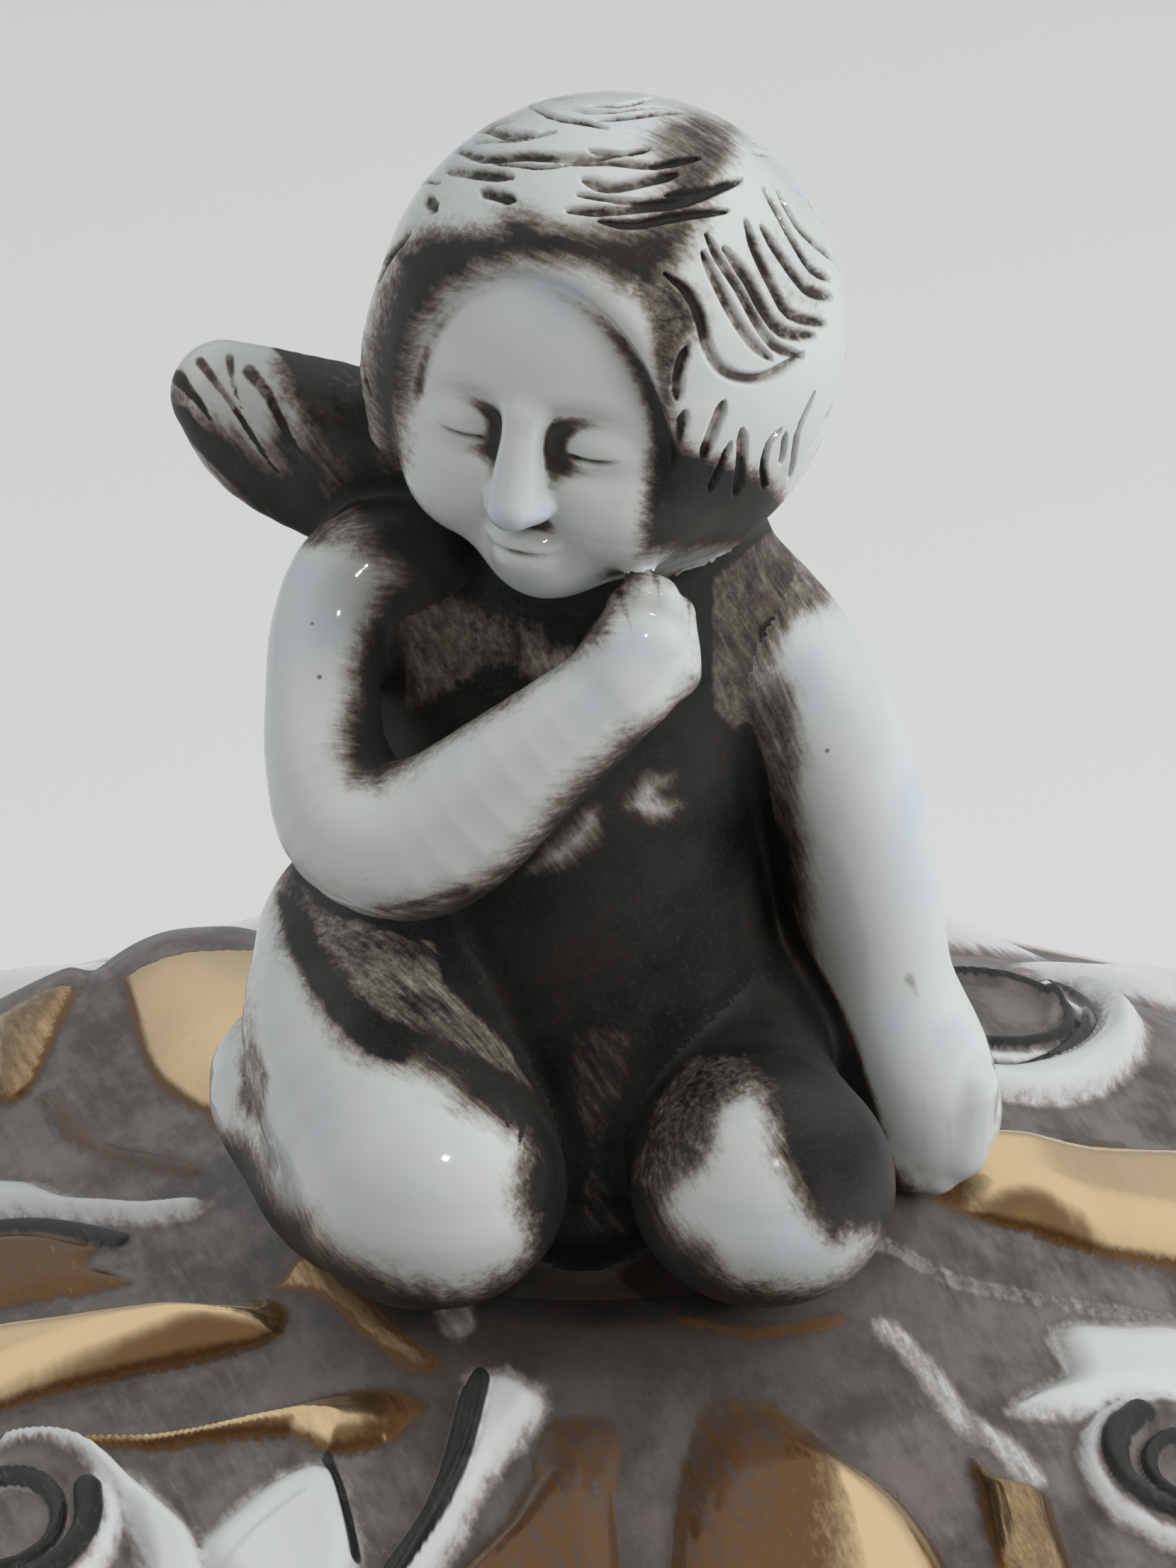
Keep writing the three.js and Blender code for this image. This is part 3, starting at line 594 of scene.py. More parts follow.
# Strokes drawn with a knife into the hair, on the painter's sheet: course, half width
HAIR_STROKES = [
    ([(-7.4, 51.6), (-6, 51.2), (-3.8, 51.3), (-1.4, 51.2), (1.2, 51.4)], 0.42),
    ([(-8, 50.6), (-6.4, 50.4), (-4.6, 50.2)], 0.45),
    ([(-9, 49.2), (-8.5, 48.5)], 0.45),
    ([(-6.2, 49.5), (-4.5, 49)], 0.4),
    ([(-6.2, 52.7), (-4.9, 52.4), (-3.6, 52.4)], 0.5),
    ([(-4, 53.9), (-2.6, 53.3), (-0.6, 52.9), (0.2, 52.7)], 0.25),
    ([(-3.4, 54.1), (-1.7, 54.2)], 0.35),
    ([(-0.2, 53.1), (1.6, 53.3), (4, 53.5)], 0.3),
    ([(-0.6, 53.8), (1.4, 53.9), (3.6, 54.2)], 0.25),
    ([(-2, 50.9), (0.4, 51), (2.6, 50.8), (5, 51.2)], 0.32),
    ([(-1, 50.1), (0.3, 49.7), (2, 50), (3.8, 50.4)], 0.45),
    ([(-1.8, 48.5), (0, 48.5), (2, 48.7), (4.2, 49), (7, 50)], 0.4),
    ([(-0.2, 48), (1.5, 47.8), (3.2, 48.1), (6.4, 48.5)], 0.35),
    ([(8.2, 49.6), (9, 48.3), (9.7, 47), (10.6, 45.6), (11.6, 45)], 0.34),
    ([(8.9, 49.5), (9.9, 47.8), (10.9, 46.8), (11.7, 46.1)], 0.36),
    ([(9.7, 49.8), (10.6, 48.8), (11.4, 48.1)], 0.38),
    ([(8.1, 47.7), (8.9, 46.5), (9.8, 45.2), (10.6, 44.4), (11.7, 44.1)], 0.4),
    ([(7.3, 48), (7.8, 46.5), (8.6, 44.8), (9.6, 43.2), (11.4, 42.7)], 0.36),
    ([(6.2, 46.6), (7.4, 45), (8.2, 43.5), (9.2, 42.3), (10.8, 42.1)], 0.42),
    ([(5.3, 47.3), (6, 46), (7, 44.5), (7.8, 43), (8.8, 41.6), (10.2, 41)], 0.36),
    ([(5.1, 46.4), (5.8, 44.9), (6.6, 43.3), (7.6, 41.8), (8.6, 40.9)], 0.36),
    ([(3.2, 45.3), (4.4, 44.3), (5, 43), (5.4, 41.4), (6.2, 40.3), (7.4, 39.9), (8.6, 40.1), (10.2, 41.2)],
     0.38),
    ([(6.2, 38.7), (5.7, 37.4), (5.1, 35.9)], 0.38),
    ([(7.1, 37.3), (7.1, 35.8), (6.8, 34)], 0.36),
    ([(9.1, 37.3), (8.5, 36.6), (8.2, 35.4), (8.3, 34.3)], 0.26),
    ([(9.3, 37.1), (9.1, 35.6)], 0.24),
    ([(4.3, 41.5), (3.9, 40.2), (3.8, 38.8)], 0.36),
    ([(4.2, 38.2), (3.8, 36.8), (3.4, 35.2)], 0.4),
    ([(-9.8, 47.3), (-10.8, 46), (-11.3, 44.8)], 0.4),
    ([(-12.0, 41.2), (-12.1, 39.6), (-11.9, 38.2)], 0.3),
    ([(-6.1, 52.9), (-4.7, 53)], 0.22),
    ([(-0.7, 51.6), (1, 51.4), (2.4, 51.6)], 0.2),
    ([(-9.2, 50), (-8.3, 49.9)], 0.2),
    ([(4.3, 48.3), (6.1, 48.5)], 0.3),
    ([(3.2, 49.3), (5.2, 49.5), (7.1, 50.1)], 0.3),
    ([(7.6, 52), (8.6, 51.9), (9.4, 51.9)], 0.32),
    ([(7.6, 52.9), (8.7, 52.6), (9.8, 51.8)], 0.26),
    ([(5.4, 53.9), (6.8, 53.7), (8, 53)], 0.26),
    ([(-5.6, 50.9), (-3.4, 50.7), (-1.8, 50.8)], 0.16),
    ([(-6.6, 51.9), (-4.4, 52.1), (-2.4, 52.5)], 0.2),
    ([(-3.8, 53.9), (-0.7, 53.5), (3.2, 53.7)], 0.22),
    ([(-1.3, 49.3), (2.1, 48.9), (5.4, 49.2)], 0.24),
    ([(9.9, 49.9), (11.2, 47.9), (12, 45.6)], 0.26),
    ([(7.7, 51.4), (8.8, 51.2), (9.9, 50.7)], 0.26),
    ([(10.8, 39.2), (9.9, 37), (9.5, 34.9)], 0.26),
    ([(6.5, 36.6), (6, 35.4), (5.4, 34.2)], 0.24),
]

# Strokes in each band round the crown from the top down, and how narrow and wide they are
CROWN_BANDS = (9, 16, 24, 28, 26)
CROWN_WIDTHS = (0.26, 0.42)
FACE_LINE = 0.32


def hair_strokes():
    """Knife strokes of the front, of the eyes and the mouth, and fainter ones down the sides and back."""
    strokes = [([onto_head(*spot) for spot in course], width * 1.2) for course, width in HAIR_STROKES]
    bows = np.linspace(-1, 1, 6)
    for side in (-1, 1):
        lashes = [on_face(9.95 - 0.9 * s * s, side * 3.3 + 1.8 * s, -1.75 + 0.35 * s * s) for s in bows]
        strokes.append((lashes, FACE_LINE))
    strokes.append(([on_face(10.95 - 0.7 * s * s, 1.5 * s, -7.05) for s in bows], FACE_LINE))
    draw = np.random.default_rng(7)
    crown = np.array([0.32, 0.30, 0.90])
    crown /= np.linalg.norm(crown)
    side = np.cross(crown, [0, -1, 0])
    side /= np.linalg.norm(side)
    front = np.cross(side, crown)
    for band, count in enumerate(CROWN_BANDS):
        for i in range(count):
            turn = 2 * math.pi * (i + draw.uniform(-0.3, 0.3)) / count
            start = math.radians(16 + 21 * band + draw.uniform(-7, 7))
            length = math.radians(draw.uniform(13, 26))
            bend = draw.uniform(0.1, 0.5)
            course = []
            for share in np.linspace(0, 1, 5):
                down = start + length * share
                way = turn + bend * share + 0.12 * math.sin(5 * down + 2 * turn)
                ray = math.cos(down) * crown + math.sin(down) * (math.cos(way) * side + math.sin(way) * front)
                course.append(HEAD_CENTRE + HEAD_RADIUS * ray)
            middle = course[2] - HEAD_CENTRE
            if middle @ VIEW_BACK < 1.5 or (middle[0] > 6 and middle[2] < -3 and middle[1] > -5):
                strokes.append((course, draw.uniform(*CROWN_WIDTHS)))
    return strokes


# Brush strokes of stain on other pieces: course, half width, how dark
STAIN_STROKES = {
    "wing_right": [
        ([(-21.6, 40), (-20.6, 38.8), (-19.8, 37.6)], 0.35, 1),
        ([(-18, 40.3), (-17, 39), (-16, 37), (-15.2, 36)], 0.4, 1),
        ([(-20.5, 40.8), (-19, 38.8), (-17.2, 36), (-16.4, 35)], 0.3, 0.9),
        ([(-19, 41), (-18.8, 39.6), (-18.3, 38.3)], 0.3, 0.8),
        ([(-21.5, 38), (-20, 36.2), (-18, 34), (-16.8, 32.6)], 0.45, 1),
        ([(-16.6, 41.8), (-15.4, 40.2)], 0.4, 0.8),
    ],
    "arm_left": [
        ([(14.6, 0.4), (14.9, 4.6)], 0.55, 0.36),
        ([(16.3, -0.2), (16.4, 4.8)], 0.5, 0.36),
        ([(17.7, 0.2), (17.5, 4.4)], 0.45, 0.36),
        ([(15.6, 9.4), (16.2, 8.2)], 0.5, 0.5),
    ],
    "arm_right": [
        ([(2.6, 30.4), (2.9, 28.8), (3.0, 26.6)], 0.28, 0.42),
        ([(4.1, 30.2), (4.4, 28.2), (4.3, 26.4)], 0.26, 0.4),
        ([(0.9, 29), (1.4, 27.4), (1.9, 25.4)], 0.3, 0.42),
        ([(-7, 13.9), (-11, 12.9), (-14.6, 13.4)], 0.4, 0.36),
    ],
    "leg_right": [
        ([(-4.9, 4.2), (-4.1, 2.4), (-4.3, 0.6)], 0.4, 0.6),
        ([(-5.6, 3.4), (-4.8, 1.8)], 0.3, 0.5),
    ],
}

# White places, as outlines on the same sheet
WHITE_PLACES = {
    "arm_right": [
        [(-18, 31.6), (-15.5, 32.4), (-14.4, 32.8), (-13.2, 32.4), (-12, 31.2), (-10.6, 30.4), (-10, 30),
         (-10.9, 29.3), (-11.4, 28.4), (-12, 26.8), (-12.5, 25.2), (-12.4, 23.6), (-12.9, 22.4),
         (-13.1, 20.7), (-12.6, 19.7), (-11.4, 19.5), (-10.2, 20.3), (-8.4, 21.8), (-6.4, 22.9), (-5, 23.8),
         (-3.9, 24.9), (-2.6, 25.7), (-1.4, 26.2), (-0.2, 27.2), (0.4, 28.4), (1.3, 29.5), (2.7, 30.6),
         (3.6, 30.4), (4.6, 29.6), (5.6, 27.4), (5.6, 25), (4.4, 23.4), (3, 22.4), (1.4, 21.6), (0, 20.4),
         (-1.4, 19), (-2.6, 17.4), (-3.6, 16.2), (-4.8, 15), (-6, 14.2), (-7.4, 13.6), (-9, 13), (-12.6, 12),
         (-17, 13), (-18.4, 20)],
    ],
    "arm_left": [
        [(17, -2.6), (15.3, -1.2), (13.8, 0.1), (12.6, 1.7), (11.7, 3.8), (11.2, 5.6), (10.6, 7.6),
         (10.3, 9.4), (10.2, 11.4), (10.1, 13.4), (10, 14.8), (9.9, 16.2), (9.5, 17.4), (9.3, 18.8),
         (9.6, 20.4), (9.6, 22), (9.2, 23.8), (8.4, 25), (8.5, 26.2), (9, 27.4), (9.8, 28.2), (11, 28.8),
         (12.6, 29.8), (20, 24), (23, 4), (20, -3)],
    ],
    "leg_right": [
        [(-18, 15.6), (-16.5, 15.2), (-16.2, 13), (-15.9, 11.2), (-14.5, 8.9), (-13.4, 7), (-12.4, 6),
         (-11.3, 5.4), (-10.2, 5.4), (-9.2, 5), (-7.6, 4.2), (-6.8, 3.2), (-5.4, 2.4), (-4, 1.6),
         (-3.6, 0.4), (-4.2, -1.2), (-4, -2.4), (-3.4, -3.4), (-3.6, -4.8), (-4.6, -5.8), (-6.4, -6.6),
         (-8.2, -6.9), (-10, -6.4), (-12, -5.6), (-13.6, -4.9), (-14.7, -4), (-15.2, -3), (-16.3, -2.4),
         (-17, -1.6), (-17.4, -0.2), (-18.2, 0.9), (-19, 1.2), (-21.4, 1.4), (-21.4, 6), (-18.8, 7.6)],
    ],
    "leg_left": [
        [(6, 3.4), (7.6, 4.4), (8.4, 3.7), (8.8, 2.2), (9.1, 0.6), (9.8, -0.6), (10.4, -1.8), (11.2, -3),
         (11.8, -3.8), (12.6, -3.3), (13.8, -3.4), (14.3, -4.4), (13.4, -5.4), (12.2, -6.2), (10.8, -6.5),
         (9.4, -6.7), (8, -6.4), (6.4, -6.2), (5.6, -5.4), (5, -4.6), (3.8, -3.9), (3, -2.7), (3.2, -1.4),
         (4, -0.6), (4.9, 0.2), (5.4, 1.2), (5.4, 2.4)],
    ],
    "torso": [
        [(-3.6, 15), (-2.2, 15.2), (-1.2, 15.8), (-0.5, 16.4), (-0.3, 18), (-1.3, 17.3), (-2.2, 16.3)],
        [(1.2, 18.1), (2.5, 19.7), (3.4, 19.6), (2.7, 18.7), (3.9, 18.2), (3.2, 17.5), (2.2, 17.6)],
        [(-3.7, 25.2), (-3.4, 27), (-2.8, 25.8), (-1.6, 26.2), (-2, 25)],
    ],
    "wing_right": [
        [(-22.8, 41.2), (-21, 43), (-17, 43), (-15.4, 42), (-16.3, 40.6), (-15.9, 39.4), (-15.2, 38),
         (-14.5, 36.2), (-15.7, 36.6), (-16.3, 37.6), (-16.8, 36.6), (-16.4, 35.2), (-17.4, 35.8),
         (-18.6, 36.8), (-20, 37.6), (-21.4, 38.6)],
        [(-23, 39), (-21.5, 37.9), (-20.2, 36.2), (-18.9, 34.6), (-17.6, 33.2), (-16, 31.6), (-17, 30),
         (-22, 34)],
    ],
}

# Places wiped to a mid tone, and the top of the hair greyed as painted shade: outline, how white (mm inside
# the white), softness of the edge
SMEARED_AND_SHADED_PLACES = {
    "torso": [
        ([(-12, 29), (-8, 31), (-4, 29), (-3.4, 26), (-6, 23.4), (-10, 21), (-12.4, 23)], -0.11, 1.8),
        ([(-4, 8), (0, 9.5), (4, 8), (3.4, 2), (3.4, -6), (-3.2, -6), (-3.6, 2)], -0.38, 2.6),
        ([(5, 30), (9.4, 33.6), (12, 30.4), (10, 28), (8.6, 27), (8.6, 25.4), (9.2, 23.6), (9.6, 21),
         (8.8, 17.4), (7.4, 19.4), (6.2, 21.8), (5, 22.8), (5, 25)], -0.1, 0.7),
    ],
    "arm_left": [
        ([(5, 30), (9.4, 33.6), (12.4, 29.8), (10.4, 28.6), (8.6, 27), (8.4, 25.2), (9.2, 23.6), (9.6, 21),
         (9.6, 17), (8.4, 17.4), (7.2, 19.4), (6.2, 21.8), (5, 22.8), (5, 25)], 0.0, 0.6),
    ],
    "arm_right": [
        ([(-16, 34), (-12.6, 34.6), (-11.6, 32.6), (-12.6, 31.4), (-14.4, 31.2), (-16, 32)], 0.05, 0.8),
    ],
    "leg_right": [
        ([(-16, 14.8), (-13.6, 13.2), (-8, 11.6), (-7.6, 9.4), (-5, 6.9), (-3, 4.8), (-2.4, 3), (-3.8, 3.2),
         (-6, 4.6), (-9, 6.2), (-11, 6.8), (-13.4, 8.8), (-15, 11.6)], -0.05, 0.7),
        ([(-16.4, 13.6), (-15.6, 10.6), (-13.8, 7.8), (-12, 5.8), (-10.2, 5.3), (-10.3, 6.2), (-12.2, 7.4),
         (-13.9, 9.4), (-15.3, 12.4)], -1.4, 0.4),
        ([(-17.9, 7.2), (-16.6, 4.4), (-17.2, 1.2), (-18.8, 2.8), (-18.8, 5.4)], 0.15, 0.5),
    ],
    "leg_left": [
        ([(2.2, 3.4), (4.2, 5.8), (7.4, 5.8), (8.2, 4.4), (5.8, 3), (5, 1), (3.6, -0.6), (2.2, -2), (1, -1)],
         -0.15, 0.7),
    ],
    "wing_right": [
        ([(-15.2, 42), (-14.6, 38), (-15.4, 34), (-13, 30), (-6, 30), (-6, 42)], -0.45, 1.0),
    ],
    "head": [
        ([(1, 52.8), (2.6, 54), (5, 54.6), (7.6, 53.6), (7.8, 51.8), (7.2, 50.2), (6.4, 49.2), (5, 48),
         (3, 47.4), (2.2, 48.6), (2.4, 50), (1.2, 51.2)], -0.05, 1.5),
        # The top of the hair is painted a little greyer: painted shade where less light falls on it
        ([(-9.4, 48.6), (-6.4, 53), (0, 55), (5, 54.6), (2, 52.4), (-2, 50.6), (-6, 48.8)], 1.05, 1.6),
        ([(6.5, 48), (9, 50), (12, 47), (12.6, 42), (10, 40.5), (7, 42), (5.5, 45)], 1.0, 1.5),
        ([(2.0, 37.6), (3.4, 38.4), (4.8, 36.8), (6.6, 36), (8.4, 35.6), (9.8, 34), (10, 31), (1.4, 30.4)],
         -0.9, 1.3),
        ([(2.4, 44.6), (3.8, 43.8), (4.2, 41), (3.8, 38.4), (2.8, 37.4), (2.2, 41)], -0.1, 0.6),
    ],
}

# Dark places within the white
DARK_PLACES = {
    "head": [
        [(-10.2, 46.2), (-9, 47.2), (-7, 47.4), (-5.2, 47.3), (-5, 48.4), (-3.4, 48), (-3.2, 47.6),
         (-1, 47.3), (1.6, 47.2), (2.8, 47.8), (4.2, 47.7), (4, 46.6), (3.1, 45.6), (3, 45), (4, 44.2),
         (4.6, 43), (4.2, 42.4), (3.2, 43.6), (1.6, 44.8), (0, 45.6), (-2, 46.1), (-4.2, 46.2), (-6.4, 45.6),
         (-8.2, 44.6), (-9.4, 43), (-10.2, 41), (-10.4, 38), (-10.6, 35.4), (-11.5, 37.2), (-11.8, 39.4),
         (-11.6, 42), (-10.9, 44.4)],
    ],
}

# The way the wiping brush ran over each piece
BRUSH_WAYS = {
    "figure_mound": (1, 0, 0), "torso": (0.5, 0, -0.86), "head": (0.8, -0.4, -0.2),
    "leg_right": (0.72, -0.45, -0.5), "leg_left": (0.5, -0.5, -0.7),
    "arm_right": (0.97, 0.1, -0.2), "arm_left": (0.35, -0.1, -0.93),
    "wing_right": (0.6, 0, -0.8), "wing_left": (-0.1, -0.6, -0.8),
}

# Paint is measured in mm inside its edge, out to a reach on both sides. The wiped hand leaves stain where
# more than EVEN_CLAY of the space about a spot is clay.
PAINT_REACH = 3.0
EVEN_CLAY = 0.53
HOLLOW_SLOPE = 22


def paint(name, points, facing):
    """How far each point is inside the white glaze, in mm: below 0 is dark stain."""
    head, torso = name == "head", name == "torso"
    hollow = read_clay(near_hollows, points) * 0.5 + read_clay(wide_hollows, points) * 0.5
    by_shape = np.clip((EVEN_CLAY - hollow) * HOLLOW_SLOPE, -PAINT_REACH, PAINT_REACH)
    across, up = from_front(points)

    def within(outline):
        return np.clip(inside_by(across, up, outline), -PAINT_REACH, PAINT_REACH)

    white = np.full(len(points), PAINT_REACH if head else -PAINT_REACH, np.float32)
    for outline in WHITE_PLACES.get(name, []):
        white = np.maximum(white, within(outline))
    for outline in DARK_PLACES.get(name, []):
        white = np.minimum(white, -within(outline))
    for outline, level, soft in SMEARED_AND_SHADED_PLACES.get(name, []):
        white += (level - white) * np.clip(0.5 + inside_by(across, up, outline) / (2 * soft), 0, 1)
    white = np.minimum(white, by_shape * 1.25 + (1.2 if head else 1.7))
    seen = np.clip((facing @ VIEW_BACK + (0.8 if torso else 0.3)) / 0.35, 0, 1)
    if name in ("torso", "figure_mound"):
        by_shape = by_shape - 0.8
    return white * seen + by_shape * (1 - seen)


def split_quads(points, quads):
    """Each quad cut into four."""
    corners = points[quads]
    edges = np.stack([quads, np.roll(quads, -1, 1)], 2)
    ordered = np.sort(edges.reshape(-1, 2), 1)
    unique, index = np.unique(ordered, axis=0, return_inverse=True)
    middle = index.reshape(-1, 4) + len(points)
    centre = np.arange(len(quads)) + len(points) + len(unique)
    all_points = np.vstack([points, points[unique].mean(1), corners.mean(1)]).astype(np.float32)
    parts = [np.stack([quads[:, i], middle[:, i], centre, middle[:, i - 1]], 1) for i in range(4)]
    return all_points, np.stack(parts, 1).reshape(-1, 4)


def corner_normals(points, quads):
    """Directions out of a skin at its points, from the quads that show."""
    corners = points[quads]
    flat = np.cross(corners[:, 2] - corners[:, 0], corners[:, 3] - corners[:, 1])
    total = np.zeros_like(points)
    for i in range(4):
        np.add.at(total, quads[:, i], flat)
    return total / np.maximum(np.linalg.norm(total, axis=1, keepdims=True), 1e-9)


def set_values(piece, name, values):
    """A value, or a place of three values, at each point of a piece."""
    values = np.asarray(values, np.float32)
    kind, field = ("FLOAT", "value") if values.ndim == 1 else ("FLOAT_VECTOR", "vector")
    layer = piece.data.attributes.get(name) or piece.data.attributes.new(name, kind, "POINT")
    layer.data.foreach_set(field, values.ravel())


def brush_grain(points, way):
    """Places measured along the brush's way and across it, in mm."""
    along = np.asarray(way, float) / np.linalg.norm(way)
    across = np.cross(along, [0.3, 0.8, 0.52])
    across /= np.linalg.norm(across)
    return points @ np.stack([along, across, np.cross(along, across)], 1)


def node_group(name, inputs, outputs, build):
    """A group of shader nodes: sockets as name and kind, with a default; made by build(tree, start, end)."""
    tree = bpy.data.node_groups.new(name, "ShaderNodeTree")
    for label, kind, default in inputs:
        socket = tree.interface.new_socket(label, in_out="INPUT", socket_type="NodeSocket" + kind)
        if default is not None:
            socket.default_value = default
    for label, kind in outputs:
        tree.interface.new_socket(label, in_out="OUTPUT", socket_type="NodeSocket" + kind)
    build(tree, tree.nodes.new("NodeGroupInput").outputs, tree.nodes.new("NodeGroupOutput").inputs)
    return tree


def brushed(tree, grain, along, across, detail, rough):
    """Noise drawn out along the brush's way."""
    turn = tree.nodes.new("ShaderNodeMapping")
    turn.inputs["Scale"].default_value = (along, across, across)
    tree.links.new(grain, turn.inputs["Vector"])
    return noise(tree, turn.outputs["Vector"], 1.0, detail, rough)


def maths(tree, operation, a, b, c=None):
    node = tree.nodes.new("ShaderNodeMath")
    node.operation = operation
    for socket, value in zip(node.inputs, (a, b, c)):
        if value is not None:
            feed(tree, socket, value)
    return node.outputs[0]


def times(tree, a, b):
    return maths(tree, "MULTIPLY", a, b)


def off_middle(tree, source):
    """Noise measured from its middle."""
    return maths(tree, "SUBTRACT", source, 0.5)


def toned(tree, factor, tones):
    """A run of colours, each at its own place along a factor."""
    ramp = tree.nodes.new("ShaderNodeValToRGB")
    while len(ramp.color_ramp.elements) < len(tones):
        ramp.color_ramp.elements.new(0.5)
    for element, (place, colour) in zip(ramp.color_ramp.elements, tones):
        element.position = place
        element.color = colour
    tree.links.new(factor, ramp.inputs["Fac"])
    return ramp.outputs["Color"]


def bumped(tree, shader, height, strength, depth):
    """Unevenness of a glaze; depth in mm."""
    bump = tree.nodes.new("ShaderNodeBump")
    bump.inputs["Strength"].default_value = strength
    bump.inputs["Distance"].default_value = depth * MM
    tree.links.new(height, bump.inputs["Height"])
    tree.links.new(bump.outputs["Normal"], shader.inputs["Normal"])


def build_wiped_edge(tree, start, end):
    """The edge of the glaze moved in and out by brush marks and grain, as far as Reach says."""
    grain = start["Grain"]
    streaks = brushed(tree, grain, 0.22, 2.1, 3.0, 0.65)
    hairs = brushed(tree, grain, 0.4, 4.0, 4.0, 0.75)
    clouds = noise(tree, grain, 0.45, 2.0)
    fine = noise(tree, grain, 3.4, 3.0, 0.7)
    value = start["Inside"]
    for source, share in ((streaks, 1.7), (hairs, 1.3), (clouds, 1.1), (fine, 1.0)):
        swing = times(tree, times(tree, off_middle(tree, source), share), start["Reach"])
        value = maths(tree, "ADD", value, swing)
    tree.links.new(value, end["Inside"])


def build_stain(tree, start, end):
    """Colours of the wiped stain from thick (low) to wiped clean (high)."""
    grain = start["Grain"]
    share = ranged(tree, start["Inside"], -1.3, 1.3, smooth=False)
    wiped = toned(tree, share, ((0.36, (0.040, 0.035, 0.031, 1)), (0.46, (0.078, 0.066, 0.054, 1)),
                                (0.56, (0.16, 0.145, 0.125, 1)), (0.67, (0.31, 0.305, 0.285, 1)),
                                (0.81, (0.45, 0.465, 0.455, 1)), (0.95, (0.51, 0.54, 0.54, 1))))
    clouds = noise(tree, grain, 0.13, 3.0, 0.6)
    thick = mixed(tree, ranged(tree, clouds, 0.36, 0.64), (0.0065, 0.0065, 0.0078, 1),
                  (0.022, 0.020, 0.018, 1))
    speckle = times(tree, ranged(tree, noise(tree, grain, 4.2, 4.0, 0.8), 0.5, 0.78), 0.3)
    thick = mixed(tree, speckle, thick, (0.10, 0.093, 0.086, 1))
    colour = mixed(tree, ranged(tree, share, 0.28, 0.46), thick, wiped)
    blush = times(tree, ranged(tree, noise(tree, grain, 0.17, 2.0), 0.5, 0.8), ranged(tree, share, 0.7, 0.95))
    colour = mixed(tree, times(tree, blush, 0.55), colour, (0.42, 0.49, 0.57, 1))
    pores = tree.nodes.new("ShaderNodeTexVoronoi")
    pores.inputs["Scale"].default_value = 0.34
    tree.links.new(grain, pores.inputs["Vector"])
    pore = ranged(tree, pores.outputs["Distance"], 0.03, 0.055, 0.75, 0.0)
    pore = times(tree, pore, ranged(tree, clouds, 0.5, 0.56))
    tree.links.new(mixed(tree, pore, colour, (0.06, 0.05, 0.042, 1)), end["Color"])
    tree.links.new(ranged(tree, share, 0.3, 0.8, 0.5, 0.10), end["Roughness"])


wiped_edge = node_group("wiped_edge", [("Inside", "Float", 0.0), ("Grain", "Vector", None),
                                       ("Reach", "Float", 1.0)],
                        [("Inside", "Float")], build_wiped_edge)
stain = node_group("stain", [("Inside", "Float", 0.0), ("Grain", "Vector", None)],
                   [("Color", "Color"), ("Roughness", "Float")], build_stain)


def use_group(tree, group, **inputs):
    node = tree.nodes.new("ShaderNodeGroup")
    node.node_tree = group
    for label, value in inputs.items():
        feed(tree, node.inputs[label], value)
    return node.outputs


def value_at_points(tree, name, kind="Fac"):
    node = tree.nodes.new("ShaderNodeAttribute")
    node.attribute_name = name
    return node.outputs[kind]


def figure_material(name, reach, gloss=0.5):
    material, tree, shader = new_material(name)
    grain = value_at_points(tree, "grain", "Vector")
    edge = use_group(tree, wiped_edge, Inside=value_at_points(tree, "white"), Grain=grain, Reach=reach)
    broken = ranged(tree, noise(tree, grain, 0.7, 3.0, 0.7), 0.36, 0.62, 1.1, 1.75)
    lined = times(tree, ranged(tree, value_at_points(tree, "line"), 0.10, 0.8), broken)
    inside = maths(tree, "MINIMUM", edge["Inside"], 1.5)
    tone = use_group(tree, stain, Inside=maths(tree, "SUBTRACT", inside, lined), Grain=grain)
    tree.links.new(tone["Color"], shader.inputs["Base Color"])
    tree.links.new(tone["Roughness"], shader.inputs["Roughness"])
    shader.inputs["Specular IOR Level"].default_value = gloss
    bumped(tree, shader, noise(tree, grain, 0.7, 2.0), 0.35, 0.06)
    return material


figure_glaze = figure_material("figure_glaze", 0.75)
figure_stain = figure_material("figure_stain", 0.55, 0.22)

STROKE_DEPTH = 0.32

for number, name in enumerate(child_pieces, 1):
    quads, shown = child_quads[number], child_shown[number]
    used, packed = np.unique(quads, return_inverse=True)
    packed = packed.reshape(quads.shape)
    place = child_points[used]
    if name == "head":
        place, packed = split_quads(place, packed)
        shown = np.repeat(shown, 4)
    normals = outward(place)
    white = paint(name, place, normals)
    if name == "head":
        line = stroke_depth(place, hair_strokes())
        place = place - normals * (STROKE_DEPTH * np.clip(line * 1.6, 0, 1) ** 2)[:, None]
        normals = corner_normals(place, packed[shown])
        lost = ~np.isin(np.arange(len(place)), packed[shown])
        normals[lost] = outward(place[lost])
    else:
        line = np.zeros(len(place), np.float32)
        across, up = from_front(place)
        for course, width, dark in STAIN_STROKES.get(name, []):
            near, along = near_course(across, up, course)
            taper = width * (1.15 - along) * np.where(normals @ VIEW_BACK > 0, 1, 0) + 1e-6
            line = np.maximum(line, dark * np.clip(1.3 - near / taper, 0, 1))
    piece = mesh_piece("clay_" + name, place + at(0, 0, child_ground), packed,
                       figure_stain if name == "torso" else figure_glaze)
    if name == "figure_mound":
        mound, mound_points = piece, place
    piece.data.normals_split_custom_set_from_vertices(normals.astype(float).tolist())
    set_values(piece, "white", white)
    set_values(piece, "line", line)
    set_values(piece, "grain", brush_grain(place, BRUSH_WAYS[name]))
    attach(piece, "lid_body")
    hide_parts(name)

# Lid
# The lid is a slip-cast dome with rocaille relief: gilded ribs, white scrolls and gadroons, and lines of
# black slip trailed on by hand. The same stain is wiped over all of it and stays grey in the valleys.

